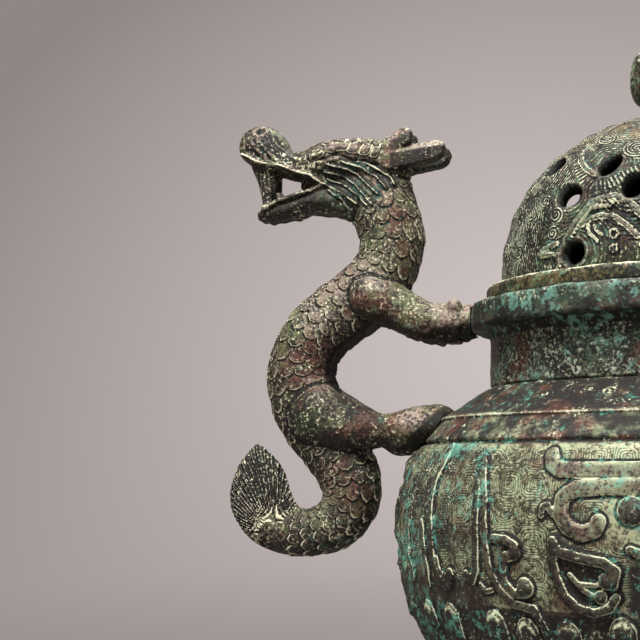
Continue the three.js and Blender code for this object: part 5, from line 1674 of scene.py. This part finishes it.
# Legs: a beast's mask on the hip, an S-curved shank and a clawed paw
leg = {
    "room": ((56.0, 0.0, -1.5), (112.0, 23.0, 96.0)),
    "step": 0.75,
    "combed": (82, 14, 34),  # axis, foot and top of the combed shank
    "shank": [(78, 78.6, 10, 14), (82, 65.7, 14.6, 18), (84.4, 52.7, 13.2, 15.6), (84.6, 39.3, 10.4, 11.8),
              (81, 24.8, 8.6, 9.6), (80, 14, 8.8, 9.8), (81.4, 6, 10.8, 11.8), (82, -4, 11.6, 12.6)],
    "toe": [(-7, 8, 4, 3.6), (0, 4.6, 4.4, 3.6), (3.4, 1.4, 2.6, 2.6)],
    "claw": [(1.5, 5.0, 2.2, 1.7), (5.0, 3.2, 1.8, 1.4), (6.6, 1.0, 1.0, 0.9)],
    "toeTip": 92.6,
    "toeTuck": 1.4,
    "toeSpread": 7.4,
    "seat": (74.0, 68.65),
    "way": (0.6855, -0.728),
    "rivetHole": 2.9,
    "ridges": [([(1.6, 70), (5.6, 73.4), (10.6, 72.6), (14, 68)], 2.6, 1.5), ([(0, 75), (0, 58)], 4.4, 1.6),
               ([(3, 77), (7, 81), (11.4, 80.4), (12.6, 77), (10, 75.6)], 2.0, 1.2),
               ([(3.4, 53), (8, 54.6), (12, 59), (12.6, 64), (9.6, 64.6)], 2.0, 1.2),
               ([(0, 50.4), (5, 48.6), (9, 44.4), (8.4, 40)], 1.8, 1.0),
               ([(0, 44), (3.6, 41.6), (5, 37), (3, 33.6)], 1.6, 0.9)],
    "eye": (6.8, 66.4, 2.9, 2.0),
    "nostril": (2.8, 56.6, 2.0, 1.5),
    "angles": {"rear": 90, "front_left": 210, "front_right": 330},
}
legLook = {**bowlLook, "dark": colour(40, 41, 32), "brown": colour(92, 92, 72), "green": colour(84, 108, 78),
           "greenShare": 0.6, "paleShare": 0.6, "rimStep": 0}


def makeLegs():
    clay = Clay(*leg["room"], leg["step"])
    field = clay.limb([(x, 0, z, thick, deep) for x, z, thick, deep in leg["shank"]])
    for side in (0, 1):
        tip = leg["toeTip"] - leg["toeTuck"] * side
        for stations, soft in ((leg["toe"], 1.4), (leg["claw"], 0.8)):
            limb = [(tip + x, side * leg["toeSpread"], z, thick, deep) for x, z, thick, deep in stations]
            field = fused(field, clay.limb(limb), soft)
    seat = clay.seat()
    hole = clay.rod(leg["seat"], leg["way"], leg["rivetHole"], -20, 9.3)
    for cut in (seat, 0.02 - clay.grid[2], -hole):
        field = np.maximum(field, cut)
    points, faces = clay.skin(field)
    points = relaxed(points, faces, 2, 0.4)
    normal = normalsOf(relaxed(points, faces, 3), faces)
    y, z = np.abs(points[:, 1]), points[:, 2]
    front = ease((normal[:, 0] - 0.05) / 0.3)
    height = np.zeros(len(points))
    for path, width, high in leg["ridges"]:
        d = nearPath(y, z, path)
        height = np.maximum(height, high * ease((width / 2 + 0.6 - d) / 1.1))
    for cy, cz, radius, high in (leg["eye"], leg["nostril"]):
        d = np.hypot(y - cy, z - cz)
        height = np.maximum(height, high * bulge(d / radius))
        height -= 0.6 * ridge(d - radius - 0.7, 0.8)
    height *= front
    axis, foot, top = leg["combed"]
    combed = wave(np.degrees(np.arctan2(points[:, 1], points[:, 0] - axis)) / 14)
    shank = ease((top - z) / 4) * ease((z - foot) / 4)
    height -= shank * 0.7 * ease((0.4 - combed) / 0.4)
    height += 0.2 * grain(points, 7, 51) + 0.12 * grain(points, 2.4, 52)
    height *= ease(-clay.at(seat, points) / 1.5 + 0.1) * ease((z - 0.4) / 1)
    points = pushed(points, faces, height)
    points[:, 2] = np.maximum(points[:, 2], 0.0)
    marks = weathered(points, faces, 8, 0.4)
    turn = (np.arctan2(points[:, 1], points[:, 0] - 80) / (2 * np.pi)) % 1
    uv = roundMap(faces, turn, points[:, 2] / leg["room"][1][2] * mapWide + mapGap)
    finish = bronze("leg green bronze", legLook)
    for where, degrees in leg["angles"].items():
        placed = turnedBy(points, degrees)
        addPiece("leg_" + where + "_cast", "leg_" + where, placed, faces, marks, finish, "vessel",
                 uv)


makeLegs()


# Rivets, each turned about its own axis and laid along its way
rivets = {
    "head": (3.3, 1.9),
    "shank": 2.0,
    "rim": {"foot": (82.6, 203.7), "way": (0.0, 1.0), "length": 12.4, "start": 0.0},
    "shoulder": {"foot": (89.4, 168.4), "way": (0.7565, 0.6543), "length": 12.4, "start": -4.8},
    "legHead": (4.6, 1.9),
    "legShank": 2.6,
    "legUnder": -5.7,
    "legReach": 9.0,
}
rivetLook = {"wornAndLitShare": 0.8, "paleShare": 0.6}


def laidAlong(points, foot, way):
    wx, wz = np.array(way) / math.hypot(*way)
    x = foot[0] + points[:, 0] * wz + points[:, 2] * wx
    z = foot[1] - points[:, 0] * wx + points[:, 2] * wz
    return np.stack([x, points[:, 1], z], 1)


def domed(radius, high, level, steps=8):
    t = np.linspace(0, math.pi / 2 - 0.06, steps)
    return [(radius * math.cos(a), level + high * math.sin(a)) for a in t]


def addRivet(name, node, outline, axis, degrees, finish, seed):  # axis: its foot and way
    rows, counts = joinedRows([(outline, 0.5, 40)])
    turned = Turned(rows, counts)
    points = turned.points()
    points = pushed(points, turned.faces, 0.1 * grain(points, 1.8, seed))
    marks = weathered(points, turned.faces, 4, 0.3)
    placed = turnedBy(laidAlong(points, *axis), degrees)
    addPiece(name, node, placed, turned.faces, marks, finish, "vessel", turned.map())


def makeRivets():
    finish = bronze("rivet brown bronze", rivetLook)
    radius, high = rivets["head"]
    for kind, seed in (("rim", 61), ("shoulder", 62)):
        form = rivets[kind]
        low, top = form["start"] - 0.3, form["start"] + form["length"] + 0.3
        outline = [(0.2, low - 0.8 * high), (radius * 0.8, low - 0.8 * high), (radius, low - 0.3 * high),
                   (radius, low), (rivets["shank"], low), (rivets["shank"], top)] + domed(radius, high, top)
        for side, degrees in (("right", 0), ("left", 180)):
            axis = form["foot"], form["way"]
            addRivet(kind + "_stud_" + side, kind + "_rivet_" + side, outline, axis, degrees, finish, seed)
    radius, high = rivets["legHead"]
    under, shank, reach = rivets["legUnder"], rivets["legShank"], rivets["legReach"]
    outline = [(0.2, under - high), (radius * 0.7, under - high), (radius, under - high * 0.4),
               (radius, under), (shank, under), (shank, reach), (0.2, reach)]
    for where, degrees in leg["angles"].items():
        axis = leg["seat"], leg["way"]
        addRivet("leg_stud_" + where, "leg_rivet_" + where, outline, axis, degrees, finish, 63)


makeRivets()


# Stage with a pool of light painted on its backdrop, lamps and camera
stage = {
    "spot": (-0.29, 1.29, 0.44),
    "stretch": (1.0, 0.553, 1.13),
    "reach": 1.73,
    "light": colour(206, 196, 194),
    "dark": colour(97, 87, 85),
    "paper": colour(152, 143, 141),
    "floor": 1.5,
    "bend": 0.9,
    "top": 3.4,
    "columns": 96,
}


def makeStage():
    floor, bend = stage["floor"], stage["bend"]
    turns = np.linspace(0.1, math.pi / 2, 14)
    curve = [(floor + bend * math.sin(t), bend - bend * math.cos(t)) for t in turns]
    rows = np.array([(0.0004, 0), (floor, 0)] + curve + [(floor + bend, stage["top"])]) / mm
    turned = Turned(rows, np.full(len(rows), stage["columns"]))
    quads = turned.faces[0][:, ::-1]
    sheet = Sheet("warm grey paper with a painted pool of light")
    place = sheet.node("ShaderNodeTexCoord", out="Object")
    away = sheet.vector("LENGTH", place, out="Value")
    seen = sheet.node("ShaderNodeLightPath", out="Is Camera Ray")
    shine = sheet.node("ShaderNodeLightPath", out="Is Glossy Ray")
    # a pool of light painted on the backdrop: bright round the spot, darker further off, seen as a glow by
    # camera and glossy rays
    spread = sheet.vector("MULTIPLY", place, stage["stretch"])
    spot = sheet.vector("DISTANCE", spread, stage["spot"], out="Value")
    fade = (spot / stage["reach"]).clipped().sum("POWER", 1.235).sum("MINIMUM", 0.68)
    paintedPool = sheet.tinted(fade, stage["light"], stage["dark"])
    paper = sheet.node("ShaderNodeBsdfDiffuse", {}, {"Color": stage["paper"]})
    glow = sheet.node("ShaderNodeEmission", {}, {"Color": paintedPool, "Strength": 1.0})
    share = (seen + shine).clipped() * away.between(0.3, 0.65)
    finish = sheet.finish(sheet.node("ShaderNodeMixShader", {}, {0: share, 1: paper, 2: glow}))
    mesh = bpy.data.meshes.new("cove")
    mesh.from_pydata((turned.points() * mm).tolist(), [], quads.tolist())
    mesh.shade_smooth()
    mesh.materials.append(finish)
    cove = bpy.data.objects.new("cove", mesh)
    bpy.context.scene.collection.objects.link(cove)


def addLamp(name, place, aim, size, power):
    data = bpy.data.lights.new(name, "AREA")
    data.shape = "DISK"
    data.size = size
    data.energy = power
    lamp = bpy.data.objects.new(name, data)
    lamp.location = place
    lamp.rotation_euler = (Vector(aim) - Vector(place)).to_track_quat("-Z", "Y").to_euler()
    lamp.visible_camera = False
    bpy.context.scene.collection.objects.link(lamp)


lights = {  # place, aim, size and power
    "key": ((-0.2, -0.6, 1.15), (-0.04, 0, 0.2), 0.6, 26.0),
    "top": ((0.1, 0.3, 1.2), (0, 0, 0.2), 0.7, 11.0),
    "fill": ((0.7, -1.2, 0.3), (0, 0, 0.16), 0.9, 1.6),
}
makeStage()
for lampName, setting in lights.items():
    addLamp(lampName, *setting)
world = bpy.data.worlds.new("soft room")
world.use_nodes = True
air = world.node_tree.nodes["Background"].inputs
air["Color"].default_value = (0.9, 0.88, 0.87, 1)
air["Strength"].default_value = 0.13
bpy.context.scene.world = world

view = {"place": (0, -0.496, 0.156), "pitch": 6.30, "yaw": 15.35, "lens": 73.86}
camera = bpy.data.objects.new("camera", bpy.data.cameras.new("camera"))
camera.data.lens = view["lens"]
camera.data.sensor_width = 36
camera.data.clip_start = 0.01
camera.location = view["place"]
camera.rotation_euler = (math.radians(90 + view["pitch"]), 0, math.radians(view["yaw"]))
bpy.context.scene.collection.objects.link(camera)
bpy.context.scene.camera = camera
